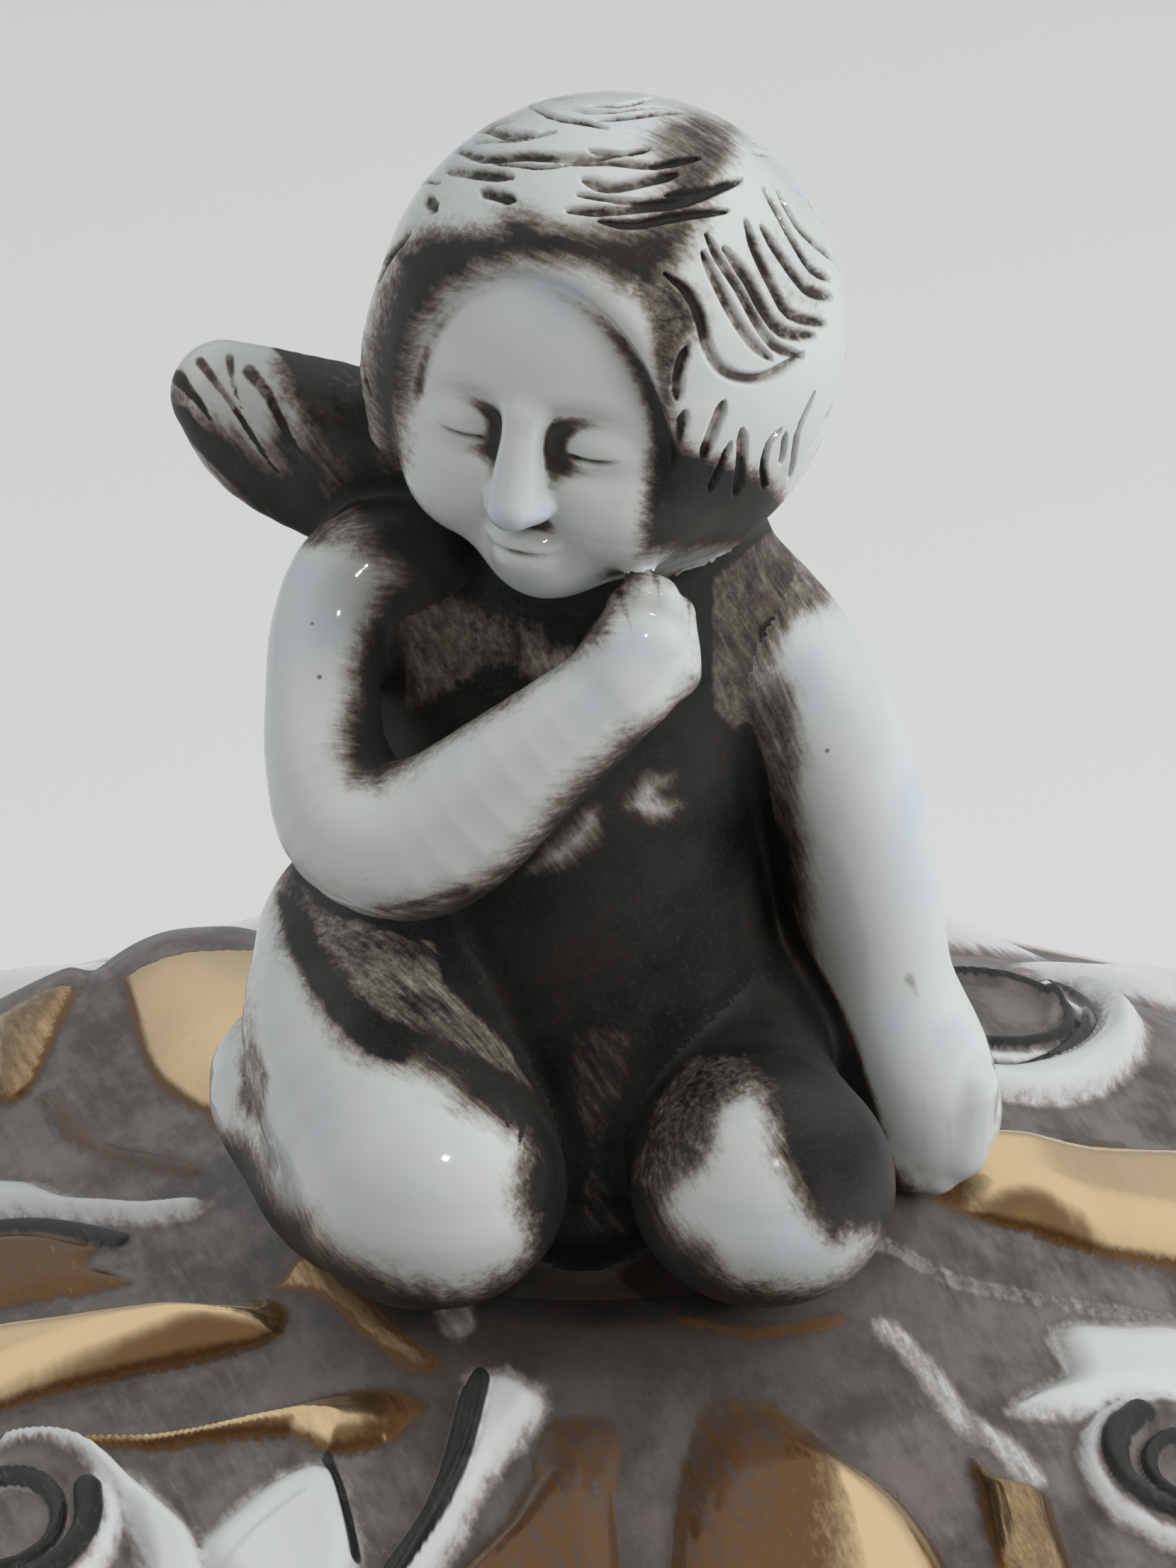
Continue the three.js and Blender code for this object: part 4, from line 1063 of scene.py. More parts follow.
LID_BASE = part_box("lid")[0][2] / MM
CROWN_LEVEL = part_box("figure_mound")[0][2] / MM - 0.3
RIM_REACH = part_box("lid")[1][1] / MM
SCALLOP = 1.6
RIM_RADIUS = RIM_REACH - SCALLOP
CROWN_RADIUS = 16.5
LID_EDGE = 4.0
WALL = 4.5
LID_FALL = ((0, 0), (0.13, 0.08), (0.42, 0.35), (0.72, 0.68), (0.9, 0.89), (1, 1))
MOUND_EDGE = 13.6


def lid_course():
    """The dome's plain section: radius against height."""
    share = smooth_course(np.array(LID_FALL, float), 8)
    radius = CROWN_RADIUS + share[:, 0] * (RIM_RADIUS - CROWN_RADIUS)
    return radius, CROWN_LEVEL - share[:, 1] * (CROWN_LEVEL - LID_BASE - LID_EDGE)


# Gilded ribs and lobes, and one flat patch that is a painted reflection: outline in plan, height, softness of
# the shoulder, how fully gilded
GILDED_FORMS_AND_REFLECTION = [
    ([(15.4, 0.6), (18, 0), (22, -0.2), (26, -0.1), (29, 1), (33, 2.4), (40, 4), (50, 4), (62, 1.5),
     (74, -1), (81, -2.5), (83, 1), (81, 7), (72, 13), (60, 17), (50, 18.6), (43, 18.6), (36, 16.6),
     (31, 14.2), (27, 11.6), (24, 9.6), (20, 8.6), (15.4, 8.6)], 2.6, 3.4, 2.0),
    ([(-16.2, -8.8), (-17.4, -7.4), (-20, -6.9), (-22, -6.3), (-25, -5.3), (-28, -4.4), (-31.6, -3.1),
     (-38, -1.6), (-48, -0.4), (-60, 2), (-72, 3), (-81, 3), (-83, -1.6), (-81, -7), (-72, -11), (-60, -13),
     (-50, -13.4), (-42, -12.4), (-36, -11.3), (-31.5, -10.8), (-25, -11.1), (-19, -11), (-16.6, -10.4)],
     2.4, 3.0, 2.0),
    ([(-9, -17.2), (-9.6, -16.3), (-11, -15.5), (-14, -15), (-18, -15.4), (-22, -15.9), (-25, -15.6),
     (-28, -14.9), (-31.2, -13.9), (-38, -14.2), (-46, -16.6), (-50, -19), (-48, -20), (-42, -18.4),
     (-36, -15.9), (-31, -15), (-28, -16), (-25, -16.8), (-22.5, -17.3), (-20, -17.1), (-16, -17.5),
     (-14, -19), (-11, -18.9)], 1.4, 2.2, 1.2),
    ([(5.2, -17.4), (8.4, -16.8), (10.2, -17.6), (12.6, -19.6), (15.2, -21.6), (17.4, -25), (19, -30),
     (21, -40), (22, -50), (19, -64), (14, -76), (8, -82), (4, -83.4), (0, -82), (-1, -76), (1, -64),
     (3, -50), (3, -38), (3.2, -28), (3.9, -22)], 2.4, 3.4, 1.5),
    ([(-2.9, -18.8), (-1, -18.4), (0.3, -18.6), (1, -20), (0.6, -23), (1, -28), (0.6, -38), (-1, -50),
     (-5, -60), (-9, -63), (-13, -58), (-14, -46), (-12, -36), (-8.6, -28), (-5, -24), (-3.5, -21.4)], 1.5,
     2.4, 0.8),
    ([(-15.6, -5.2), (-13.8, -7), (-12.2, -9.4), (-10.6, -12), (-8.6, -14.2), (-8.2, -15.4), (-10.2, -14.6),
     (-12.2, -12.4), (-13.6, -10.2), (-15.2, -8.2), (-17.2, -7)], 0.3, 1.0, 0.9),
    ([(4, -13.2), (8.4, -13.4), (12.4, -11.6), (12.2, -10.9), (8.2, -12.7), (4, -12.6)], 0.1, 0.5, 0.5),
    ([(18.6, -18.2), (20, -19.6), (22.4, -20.2), (23, -22.6), (24, -27), (22, -29), (20, -26), (19.2, -22)],
     1.2, 1.4, 0.9),
    # A flat patch of fuller gold on the front rib's right side: a painted reflection of the bright sky, not a
    # form
    ([(11.5, -20.6), (13.2, -21.8), (15, -23.6), (16.8, -26), (18.2, -30), (19.8, -38), (20.4, -46),
     (17.6, -48), (14.6, -42), (13.5, -35), (12.9, -29), (12.1, -25), (11.4, -22.6)], 0.0, 1.0, 1.6),
    ([(-33, 7.2), (-30, 5), (-28, 3), (-26.6, 1.6), (-27, 0.2), (-25.4, -1.6), (-24.8, -3), (-28, -2.3),
     (-33, -1), (-40, 1), (-46, 4), (-50, 9), (-46, 12), (-40, 10.6)], 0.5, 1.6, 0.55),
    ([(-20.4, 9.4), (-21.4, 12), (-22.8, 14.4), (-25, 19), (-26.2, 25), (-28, 34), (-30, 42), (-31, 50),
     (-26, 54), (-20, 48), (-17, 40), (-15, 30), (-15, 20), (-17, 12)], 1.8, 5.0, 1.6),
    ([(-29, 34), (-30, 25), (-31.6, 20.4), (-33.6, 21), (-34.4, 26), (-36, 34), (-38, 42), (-33, 44)], 0.8,
     1.4, 0.9),
    ([(-31, 19.6), (-29, 14.6), (-27, 11.4), (-25, 8.8), (-22, 5.6), (-21.4, 6.4), (-23.6, 9), (-26, 11.8),
     (-28, 15.2), (-30, 20)], 0.3, 0.8, 0.15),
    ([(21, 10.5), (24.2, 10.6), (23.8, 9.8), (21, 9.4)], 0.3, 0.4, 0.2),
    ([(25.5, 11.5), (28.6, 13.5), (28, 14), (25.2, 12.7)], 0.3, 0.4, 0.2),
    ([(-4, 17), (4, 17), (6, 26), (8, 40), (9.5, 58), (7, 76), (4, 83), (-4, 83), (-7, 76), (-9.5, 58),
     (-8, 40), (-6, 26)], 2.4, 3.4, 1.7),
]

# White scrolls and petals: outline in plan, height, softness of the shoulder
WHITE_FORMS = [
    ([(24.2, -6.7), (27, -5.4), (30.4, -3.6), (36, -3), (42, -5), (45, -10), (42, -12.4), (36, -9.4),
     (31, -10), (28.6, -11.4), (26.4, -12.9), (24.6, -14), (21, -14.6), (22.4, -12.4), (24, -10.6),
     (23.4, -8.4)], 1.0, 2.0),
    ([(-6.9, -16), (-5.8, -15.8), (-4.6, -16.1), (-3.1, -17.4), (-3.6, -18.9), (-4.9, -20.4), (-6, -22.2),
     (-7.2, -24.6), (-9, -27.6), (-11.6, -31), (-14, -36), (-15, -35), (-12, -29), (-9.4, -24.6),
     (-7.4, -20.4), (-6.8, -17.8)], 1.1, 1.2),
    ([(-20.6, -24.6), (-18.5, -21.6), (-16.5, -19.9), (-14.6, -19.3), (-13.4, -20.2), (-12.8, -22),
     (-12.3, -24), (-12.6, -28), (-15, -30), (-18, -28)], 1.1, 1.6),
    ([(-31, -15.3), (-28, -15.9), (-26, -17), (-24, -19), (-21.9, -21.4), (-20.4, -23.6), (-20, -27),
     (-22, -31), (-23.6, -30), (-23, -26), (-24, -22.4), (-25.4, -19.8), (-28, -17.6), (-31, -16.6)], 1.2,
     1.0),
    ([(-33, 13.6), (-30.6, 11), (-29.5, 9), (-28.3, 7.2), (-26, 5.5), (-24, 4.1), (-21.6, 2.9), (-20.9, 2.1),
     (-21.6, 1.6), (-23, 2), (-26, 3.8), (-29, 6), (-32.4, 8.7), (-38, 12), (-40, 17), (-37, 18)], 1.2, 1.4),
    ([(22, 15.2), (25, 16.6), (27.8, 19.8), (29.6, 24), (30.6, 29), (30.4, 35), (28, 40), (26.6, 39),
     (28.2, 34), (28, 29), (27, 25), (25, 21.6), (22, 18.6), (19.6, 17.4), (19.6, 14.8)], 1.4, 1.4),
    ([(24.6, 25.6), (25.6, 27), (26.2, 31), (25.8, 36), (24.8, 35.6), (25, 31)], 0.6, 0.8),
]

# Lines of black slip trailed on the lid: course in plan, half width, height
SLIP_LINES = [
    ([(-6.5, -16.9), (-6.9, -18.6), (-7.5, -21), (-8.6, -23.6), (-10.4, -26.2), (-13, -30), (-15, -34)], 0.8,
     0.9),
    ([(22.2, 18.9), (24.8, 21.4), (26.6, 25), (27.4, 29), (27.2, 34), (25.6, 38.6)], 0.45, 0.4),
    ([(-25.6, 1.5), (-29, 4.7), (-32.6, 7.7), (-38, 11), (-42, 16)], 0.6, 0.5),
    ([(-14, -19), (-13.2, -21.4), (-12.4, -25)], 0.28, 0.1),
]

# White wipes where a crease stands proud, the first a grey painted highlight along a ridge: course in plan,
# half width, how white
WHITE_WIPES_AND_HIGHLIGHT = [
    # A grey line along the raised crease right of the figure: a painted highlight
    ([(14, -4.9), (18, -5.4), (22, -5.3), (25, -4.9), (28, -3.9), (33, -2.4), (38, -1.6)], 0.12, -0.34),
    ([(14.8, -10.8), (16.4, -12.2), (17.6, -14.2), (18.6, -15.8), (20.4, -17.2), (21.8, -19.4)], 0.5, 0.02),
    ([(-15, -21.9), (-17, -23.6), (-19, -26)], 0.18, 0.1),
    ([(-7.6, -11.2), (-7.4, -12.6)], 0.5, -0.1),
]

# Coiled volutes: middle in plan, radius of the black coil, way it turns, turns, how far it winds in
VOLUTES = [((31.3, -17.5), 5.3, 1, 1.5, 0.5), ((-30.8, -22.0), 4.9, -1, 1.5, 0.5),
           ((20.2, 27.5), 6.0, -1, 1.0, 0.0)]

# How far past the coil a volute's raised edge and its white rim lie, and the white line within
VOLUTE_EDGE, VOLUTE_RIM, VOLUTE_LINE = 2.4, 1.15, -1.5

# Broad swellings that press the dome out: bearing in degrees and height, at one radius and with one reach
SWELLINGS = ((-37, 5), (48, 2.6), (132, 5), (217, 5))
SWELLING_RADIUS, SWELLING_REACH = 43, 21

# Unevenness of a hand-finished mould: height, run along X and Y, shift
RIPPLES = ((0.12, 0.33, 0.21, 0), (0.10, -0.38, 0.27, 1.3), (0.05, 0.61, 0, 0.7))

# Paint is measured in mm inside its edge
BARE, COVERED = -3.0, 2.0
GILDED_RIM = 83.2
LOBE_GILT_END = -8, 29.5
LID_GADROONS = 50, 83
GADROON_HEIGHT = 1.8
GADROON_ANGLE = math.radians(15)
GADROON_SHARE = 0.92
QUARTER = math.pi / 2


def pillow(inside, soft):
    """A swelling that rises from a form's outline to its full height over a soft shoulder."""
    share = np.clip(inside / soft, 0, 1)
    return share * (2 - share)


def rounded(outline):
    """A closed outline with its corners rounded off."""
    return smooth_course(np.array([outline[-1], *outline], float), 3)[:-1].tolist()


def soft_step(value, low, high):
    share = np.clip((value - low) / (high - low), 0, 1)
    return share * share * (3 - 2 * share)


def painted(inside):
    return np.clip(inside, BARE, COVERED)


def round_back(near, width):
    """The back of a trailed line, from 1 at its middle to 0 at its edge."""
    return np.sqrt(np.clip(1 - (near / width) ** 2, 0, 1))


def coil(middle, radius, hand, count, wound_in):
    """A line of slip that winds inward."""
    turns = np.linspace(0, 2 * math.pi * count, 22)
    sizes = radius * (1 - wound_in * (turns / turns[-1]) ** 1.1)
    start = math.atan2(middle[1], middle[0]) + math.pi * 0.9
    return [(middle[0] + r * math.cos(start + hand * t), middle[1] + r * math.sin(start + hand * t))
            for r, t in zip(sizes, turns)]


def gadroons(turn, radius, place, first, last, first_step, last_step):
    """Five rounded flutes in each quarter, the middle one longest: rise, and mm inside the nearest one."""
    rise = np.zeros(len(turn), np.float32)
    nearest = np.full(len(turn), BARE, np.float32)
    half = radius * GADROON_ANGLE / 2 * GADROON_SHARE
    for quarter, aside in product(range(4), range(-2, 3)):
        middle = math.radians(45 + 90 * quarter) + aside * GADROON_ANGLE
        swing = radius * np.abs((turn - middle + math.pi) % (2 * math.pi) - math.pi)
        start, end = first + first_step * abs(aside), last - last_step * abs(aside)
        past_ends = np.maximum(0, start + half - place) + np.maximum(0, place - end + half)
        inside = np.minimum(half - np.hypot(swing, past_ends), np.minimum(place - start, end - place))
        inside = np.minimum(half - swing, inside)
        rise = np.maximum(rise, GADROON_HEIGHT * pillow(inside, half))
        nearest = np.maximum(nearest, inside)
    return rise, nearest


def scallop(turn):
    return SCALLOP * 0.5 * (1 + np.cos(8 * turn))


def lid_relief(x, y):
    """Height of the lid's relief over its dome, and its painting: gilded, white, black, in mm inside."""
    radius, turn = np.hypot(x, y), np.arctan2(y, x)
    height = np.zeros(len(x), np.float32)
    gold, white, black = (np.full(len(x), BARE, np.float32) for _ in range(3))

    # The gilding is rubbed thin near the crown; on the side of the view it is thinned further, a painted dark
    # reflection of the room on the front ribs
    dark_reflection_side = soft_step(-y / np.maximum(radius, 1), 0.7, 0.97)
    near_crown = 0.05 + (radius - 17) * (0.34 - 0.305 * dark_reflection_side)
    past_crown = soft_step(radius, CROWN_RADIUS - 1, CROWN_RADIUS + 8)
    for outline, rise, soft, fullness in GILDED_FORMS_AND_REFLECTION:
        inside = inside_by(x, y, rounded(outline))
        height = np.maximum(height, rise * pillow(inside, soft) * past_crown)
        cover = np.where(inside > 0, inside * 1.9, inside)
        most = np.minimum(fullness, near_crown) if rise > 0.5 else fullness
        gold = np.maximum(gold, painted(np.minimum(cover, most)))
    behind_lobe = np.minimum(y - LOBE_GILT_END[1], LOBE_GILT_END[0] - x)
    gold = np.where(behind_lobe > 0, np.minimum(gold, -behind_lobe), gold)

    flute, petal = gadroons(turn, radius, radius, *LID_GADROONS, 5, 0)
    height = np.maximum(height, flute)
    white = np.maximum(white, painted(np.minimum((petal - 1.1) * 0.42, -gold - 1.0)))
    for bearing, swell in SWELLINGS:
        bearing = math.radians(bearing)
        away = np.hypot(x - SWELLING_RADIUS * math.cos(bearing), y - SWELLING_RADIUS * math.sin(bearing))
        height += swell * (1 - soft_step(away, 0, SWELLING_REACH))
    for outline, rise, soft in WHITE_FORMS:
        inside = inside_by(x, y, rounded(outline))
        height += rise * pillow(inside, soft)
        white = np.maximum(white, painted(inside))

    # A volute is a raised disc with a sunk middle, white on its rim and within, with a coil of slip between
    for middle, size, hand, count, wound_in in VOLUTES:
        away = np.hypot(x - middle[0], y - middle[1])
        raised = 0.35 if middle[1] > 0 else 1.0
        disc, sunk = soft_step(size + VOLUTE_EDGE - away, 0, 1.6), soft_step(size - away, 0.4, 1.4)
        height += raised * (disc - 0.8 * sunk)
        rim = 0.42 - np.abs(away - size - VOLUTE_RIM)
        inner = (0.3 if wound_in else -1.0) - np.abs(away - size - VOLUTE_LINE)
        inner = inner - 0.35 * (1 + np.cos(np.arctan2(y - middle[1], x - middle[0]) - 3.9))
        gold = np.minimum(gold, away - size - 1.6)
        white = np.where(away < size + 0.7, np.maximum(rim, inner) * 1.6, np.maximum(white, rim * 1.6))
        near, along = near_course(x, y, coil(middle, size, hand, count, wound_in))
        width = 0.75 * np.sqrt(np.clip(1.15 - along, 0.2, 1)) if wound_in else np.full(len(x), 0.4)
        height += 0.6 * round_back(near, width)
        black = np.maximum(black, width - near)
    for course, width, rise in SLIP_LINES:
        near, along = near_course(x, y, course)
        height += rise * round_back(near, width)
        black = np.maximum(black, width - near)
    for course, width, whiteness in WHITE_WIPES_AND_HIGHLIGHT:
        near, along = near_course(x, y, course)
        white = np.maximum(white, np.minimum(width - near, whiteness))
        height += 0.2 * soft_step(width * 2 - near, 0, width * 2)
    gold = np.maximum(gold, radius - GILDED_RIM)
    white = np.minimum(white, GILDED_RIM - 0.6 - radius)

    for rise, run_x, run_y, shift in RIPPLES:
        height += rise * np.sin(run_x * x + run_y * y + shift)
    height *= soft_step(radius, CROWN_RADIUS - 3, CROWN_RADIUS + 2) * (1 - soft_step(radius, 82.5, 85.5))
    height += 2.2 * np.clip((22 - radius) / (22 - MOUND_EDGE), 0, 1) ** 2
    return height, gold, white, black


def round_piece(name, rings, material, body, node):
    """A closed skin from rings of points in mm, each joined to the next and the last to the first."""
    count, turns = rings.shape[:2]
    index = np.arange(count * turns).reshape(count, turns)
    ahead = np.roll(index, -1, 1)
    faces = np.stack([index, np.roll(index, -1, 0), np.roll(ahead, -1, 0), ahead], -1).reshape(-1, 4)
    piece = mesh_piece(name, rings.reshape(-1, 3), faces, material)
    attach(piece, body)
    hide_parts(node)
    return piece


def turned(turn, radius, level):
    """Points round the axis at a radius and a level."""
    return np.stack([radius * np.cos(turn), radius * np.sin(turn), level], -1)


def ring_at(turn, radius, level):
    """A ring of points; radius and level are one number each or one for each turn."""
    return turned(turn, np.broadcast_to(radius, turn.shape), np.broadcast_to(level, turn.shape))


def full_turn(steps):
    return np.linspace(0, 2 * math.pi, steps, endpoint=False)


def paint_piece(piece, grain, gold=(), white=(), black=(), darkening=(), other_white=BARE):
    """Painting of a round piece: each value covers its first points, and the others are bare, or white."""
    for name, first, other in (("gold", gold, BARE), ("white", white, other_white),
                               ("black", black, BARE), ("darkening", darkening, 0)):
        values = np.full(len(grain), other, np.float32)
        values[:len(first)] = first
        set_values(piece, name, values)
    set_values(piece, "grain", grain)


def build_lustre(tree, start, end):
    """Gold lustre, white glaze and black slip over the grey stain: colour, metal and roughness."""
    grain = start["Grain"]
    streaks = brushed(tree, grain, 0.22, 1.5, 3.0, 0.6)
    hairs = brushed(tree, grain, 0.22, 2.6, 5.0, 0.75)
    clouds = noise(tree, grain, 0.22, 4.0, 0.6)
    fine = noise(tree, grain, 3.2, 3.0, 0.7)
    swing = times(tree, off_middle(tree, streaks), 1.6)
    for source, share in ((hairs, 2.6), (fine, 0.7)):
        swing = maths(tree, "ADD", swing, times(tree, off_middle(tree, source), share))
    swing = times(tree, swing, ranged(tree, start["Gold"], 0.2, 1.1, 0.75, 0.22))
    gold = maths(tree, "ADD", start["Gold"], swing)
    white = start["White"]
    for source, share in ((streaks, 1.3), (hairs, 0.35), (fine, 0.5)):
        white = maths(tree, "MULTIPLY_ADD", off_middle(tree, source), share, white)

    blotches = ranged(tree, maths(tree, "MULTIPLY_ADD", clouds, 3.0, streaks), 1.45, 2.55)
    ground = mixed(tree, blotches, (0.060, 0.053, 0.048, 1), (0.165, 0.153, 0.144, 1))
    warmth = noise(tree, grain, 0.11, 2.0)
    for amount, share, tone in ((ranged(tree, warmth, 0.5, 0.72), 0.5, (0.125, 0.095, 0.088, 1)),
                                (ranged(tree, hairs, 0.52, 0.8), 0.35, (0.30, 0.285, 0.275, 1)),
                                (ranged(tree, fine, 0.45, 0.2), 0.4, (0.05, 0.045, 0.043, 1))):
        ground = mixed(tree, times(tree, amount, share), ground, tone)
    darkened = mixed(tree, fine, (0.022, 0.020, 0.020, 1), (0.060, 0.054, 0.050, 1))
    ground = mixed(tree, times(tree, start["Darkening"], 0.9), ground, darkened)

    wiped = toned(tree, ranged(tree, white, -0.5, 0.6, smooth=False),
                  ((0.0, (0.11, 0.095, 0.085, 1)), (0.35, (0.25, 0.235, 0.225, 1)),
                   (0.62, (0.46, 0.46, 0.46, 1)), (0.9, (0.53, 0.55, 0.56, 1))))
    colour = mixed(tree, ranged(tree, white, -0.75, -0.3), ground, wiped)

    cover = ranged(tree, gold, -0.45, 0.45)
    even = maths(tree, "MULTIPLY_ADD", swing, 0.75, start["Gold"])
    gilt = mixed(tree, ranged(tree, even, 0.0, 0.7), (0.06, 0.035, 0.022, 1), (0.175, 0.090, 0.034, 1))
    gilt = mixed(tree, ranged(tree, even, 0.6, 1.4), gilt, (0.97, 0.74, 0.44, 1))
    gilt = mixed(tree, times(tree, ranged(tree, fine, 0.34, 0.22), 0.15), gilt, (0.35, 0.20, 0.08, 1))
    colour = mixed(tree, cover, colour, gilt)

    slip = ranged(tree, start["Black"], -0.07, 0.07)
    worn = mixed(tree, ranged(tree, hairs, 0.5, 0.75), (0.017, 0.017, 0.018, 1), (0.055, 0.055, 0.058, 1))
    tree.links.new(mixed(tree, slip, colour, worn), end["Color"])
    metal = times(tree, ranged(tree, even, 0.1, 0.9), maths(tree, "SUBTRACT", 1.0, slip))
    tree.links.new(times(tree, metal, 0.92), end["Metallic"])
    shine = maths(tree, "MAXIMUM", cover, ranged(tree, white, -0.3, 0.3))
    rough = maths(tree, "MAXIMUM", ranged(tree, shine, 0.0, 1.0, 0.40, 0.11), times(tree, start["Darkening"], 0.6))
    tree.links.new(rough, end["Roughness"])


lustre = node_group("lustre", [("Gold", "Float", -3.0), ("White", "Float", -3.0), ("Black", "Float", -3.0),
                               ("Darkening", "Float", 0.0), ("Grain", "Vector", None)],
                    [("Color", "Color"), ("Metallic", "Float"), ("Roughness", "Float")], build_lustre)


def lustre_material(name, bump_depth=0.05):
    material, tree, shader = new_material(name)
    grain = value_at_points(tree, "grain", "Vector")
    paints = {label: value_at_points(tree, label.lower()) for label in ("Gold", "White", "Black", "Darkening")}
    tone = use_group(tree, lustre, Grain=grain, **paints)
    for label in ("Color", "Metallic", "Roughness"):
        tree.links.new(tone[label], shader.inputs["Base Color" if label == "Color" else label])
    bumped(tree, shader, brushed(tree, grain, 0.25, 0.7, 2.0, 0.5), 0.6, bump_depth)
    return material


def plan_grain(points):
    """The brush ran over the lid at a slant to its ribs."""
    return brush_grain(points, (-0.36, 0.93, 0))


lid_lustre = lustre_material("lid_lustre", 0.06)

turn = full_turn(960)
fine_step = 0.28
top_radii = np.concatenate([[0.01, 8], np.arange(MOUND_EDGE - 1, 44, fine_step),
                            np.arange(44, 80, fine_step * 2.5), np.arange(80, RIM_RADIUS - 0.3, 0.6)])
flat_radius, flat_turn = (v.ravel() for v in np.meshgrid(top_radii, turn, indexing="ij"))
relief, gold, white, black = lid_relief(flat_radius * np.cos(flat_turn), flat_radius * np.sin(flat_turn))
plain_radius, plain_level = lid_course()
level = np.interp(flat_radius, np.append(0, plain_radius), np.append(CROWN_LEVEL, plain_level))
reach = top_radii[:, None] + scallop(turn) * soft_step(top_radii, 52, RIM_RADIUS)[:, None]
lid_rings = list(turned(turn, reach, (level + relief).reshape(reach.shape)))
edge = RIM_RADIUS + scallop(turn)
for radius, z in ((edge, LID_EDGE - 1.2), (edge, 1), (edge - 0.8, 0),
                  (RIM_RADIUS - 14, 0), (RIM_RADIUS - 15, 2)):
    lid_rings.append(ring_at(turn, radius, LID_BASE + z))
for radius, z in list(zip(plain_radius, plain_level))[::-3]:
    if radius < RIM_RADIUS - 17:
        lid_rings.append(ring_at(turn, radius, z - WALL))
lid_rings = np.array(lid_rings + [ring_at(turn, 0.01, CROWN_LEVEL - WALL)])
lid = round_piece("lid_shell", lid_rings, lid_lustre, "lid_body", "lid")
# Darker, rougher ground round the mound, reaching furthest to the front and back
darkening = 1 - soft_step(flat_radius, MOUND_EDGE - 1, MOUND_EDGE + 12 - 5 * np.cos(2 * flat_turn))
edging = 2 * len(turn)
gold, white = np.append(gold, np.full(edging, COVERED)), np.append(white, np.full(edging, BARE))
paint_piece(lid, plan_grain(lid_rings.reshape(-1, 3)), gold, white, black, darkening, other_white=COVERED)

# The painting runs on over the mound, with darker ground in its creases
gold, white, black = lid_relief(mound_points[:, 0], mound_points[:, 1])[1:]
from_axis = np.hypot(mound_points[:, 0], mound_points[:, 1])
crease = (read_clay(wide_hollows, mound_points) - 0.62) * 5
darkening = np.clip(np.maximum(1 - soft_step(from_axis, MOUND_EDGE - 1, MOUND_EDGE + 5), crease), 0, 1)
mound.data.materials[0] = lid_lustre
paint_piece(mound, plan_grain(mound_points), gold, white, black, darkening)

# Locating ring
# A plain ring is luted under the lid and drops into the bowl's mouth. It is glazed white like the inside,
# and its lower edge is left bare where it stood in the kiln.

flange_low, flange_high = (np.array(corner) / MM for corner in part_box("lid_flange"))
FLANGE_WALL = 3.4

turn = full_turn(240)
outer, inner = flange_high[0], flange_high[0] - FLANGE_WALL
low, high = flange_low[2], flange_high[2]
section = [(inner, high), (inner, low + 0.6), (inner + 0.6, low), (outer - 0.9, low),
           (outer - 0.1, low + 0.9), (outer, low + 1.8), (outer, high)]
flange_rings = np.array([ring_at(turn, radius, z) for radius, z in smooth_course(np.array(section), 3)])
flange = round_piece("lid_locating_ring", flange_rings, lid_lustre, "lid_body", "lid_flange")
flat = flange_rings.reshape(-1, 3)
white = np.clip((flat[:, 2] - low - 0.4) * 2.5, -0.3, COVERED)
paint_piece(flange, brush_grain(flat, (1, 0, 0)), white=white)

# Bowl
# The bowl is slip-cast like the lid: white glaze with stain in the valleys between its gadroons,
# gilded ribs under the lid's ribs and handles, and a gilded scalloped lip.

bowl_low, bowl_high = (np.array(corner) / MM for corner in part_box("bowl"))
BOWL_HEIGHT = bowl_high[2] - bowl_low[2]
BOWL_SEAT = 41.0
BELLY_HEIGHT = 44.0
BELLY_RADIUS = RIM_RADIUS - 4
NECK_RADIUS = RIM_RADIUS - 5
LIP_HEIGHT = 5.0
LIP = BOWL_HEIGHT - LIP_HEIGHT
MOUTH_RADIUS = NECK_RADIUS - WALL
BOWL_GADROONS = 5, 52
RIB_SPREAD = 9
LINE_CLIMB = 4.4


def bowl_relief(turn, radius, climb):
    """How far the wall stands out, and its painting, at a height over its base."""
    share = climb / BOWL_HEIGHT
    fade = soft_step(share, 0.02, 0.3) * (1 - soft_step(share, 0.75, 0.93))
    from_rib = np.abs((turn + QUARTER / 2) % QUARTER - QUARTER / 2)
    across = radius * from_rib
    rib = 2.5 * np.exp(-(across / RIB_SPREAD) ** 2)
    swell = 3.5 * soft_step(np.cos(from_rib - QUARTER / 2), 0.75, 1)
    flute, petal = gadroons(turn, radius, climb, *BOWL_GADROONS, 0, 5)
    gold = np.minimum(5.5 * soft_step(share, 0, 0.25) + 1.5 - across, 90)
    gold = np.maximum(gold, climb - LIP - 0.5)
    over_tops = climb - (BOWL_GADROONS[1] - 5 * (QUARTER / 2 - from_rib) / GADROON_ANGLE)
    white = np.maximum((petal - 1.0) * 0.42, (over_tops - 3.2) * 0.5)
    white = np.minimum(white, -gold - 1.0)
    near = np.abs(over_tops - LINE_CLIMB)
    black = np.minimum(0.6 - near, across - RIB_SPREAD)
    line = 0.5 * round_back(near, 0.7) * soft_step(across, RIB_SPREAD, RIB_SPREAD + 1)
    return fade * (rib + swell + scallop(turn)) + flute + line, painted(gold), painted(white), black


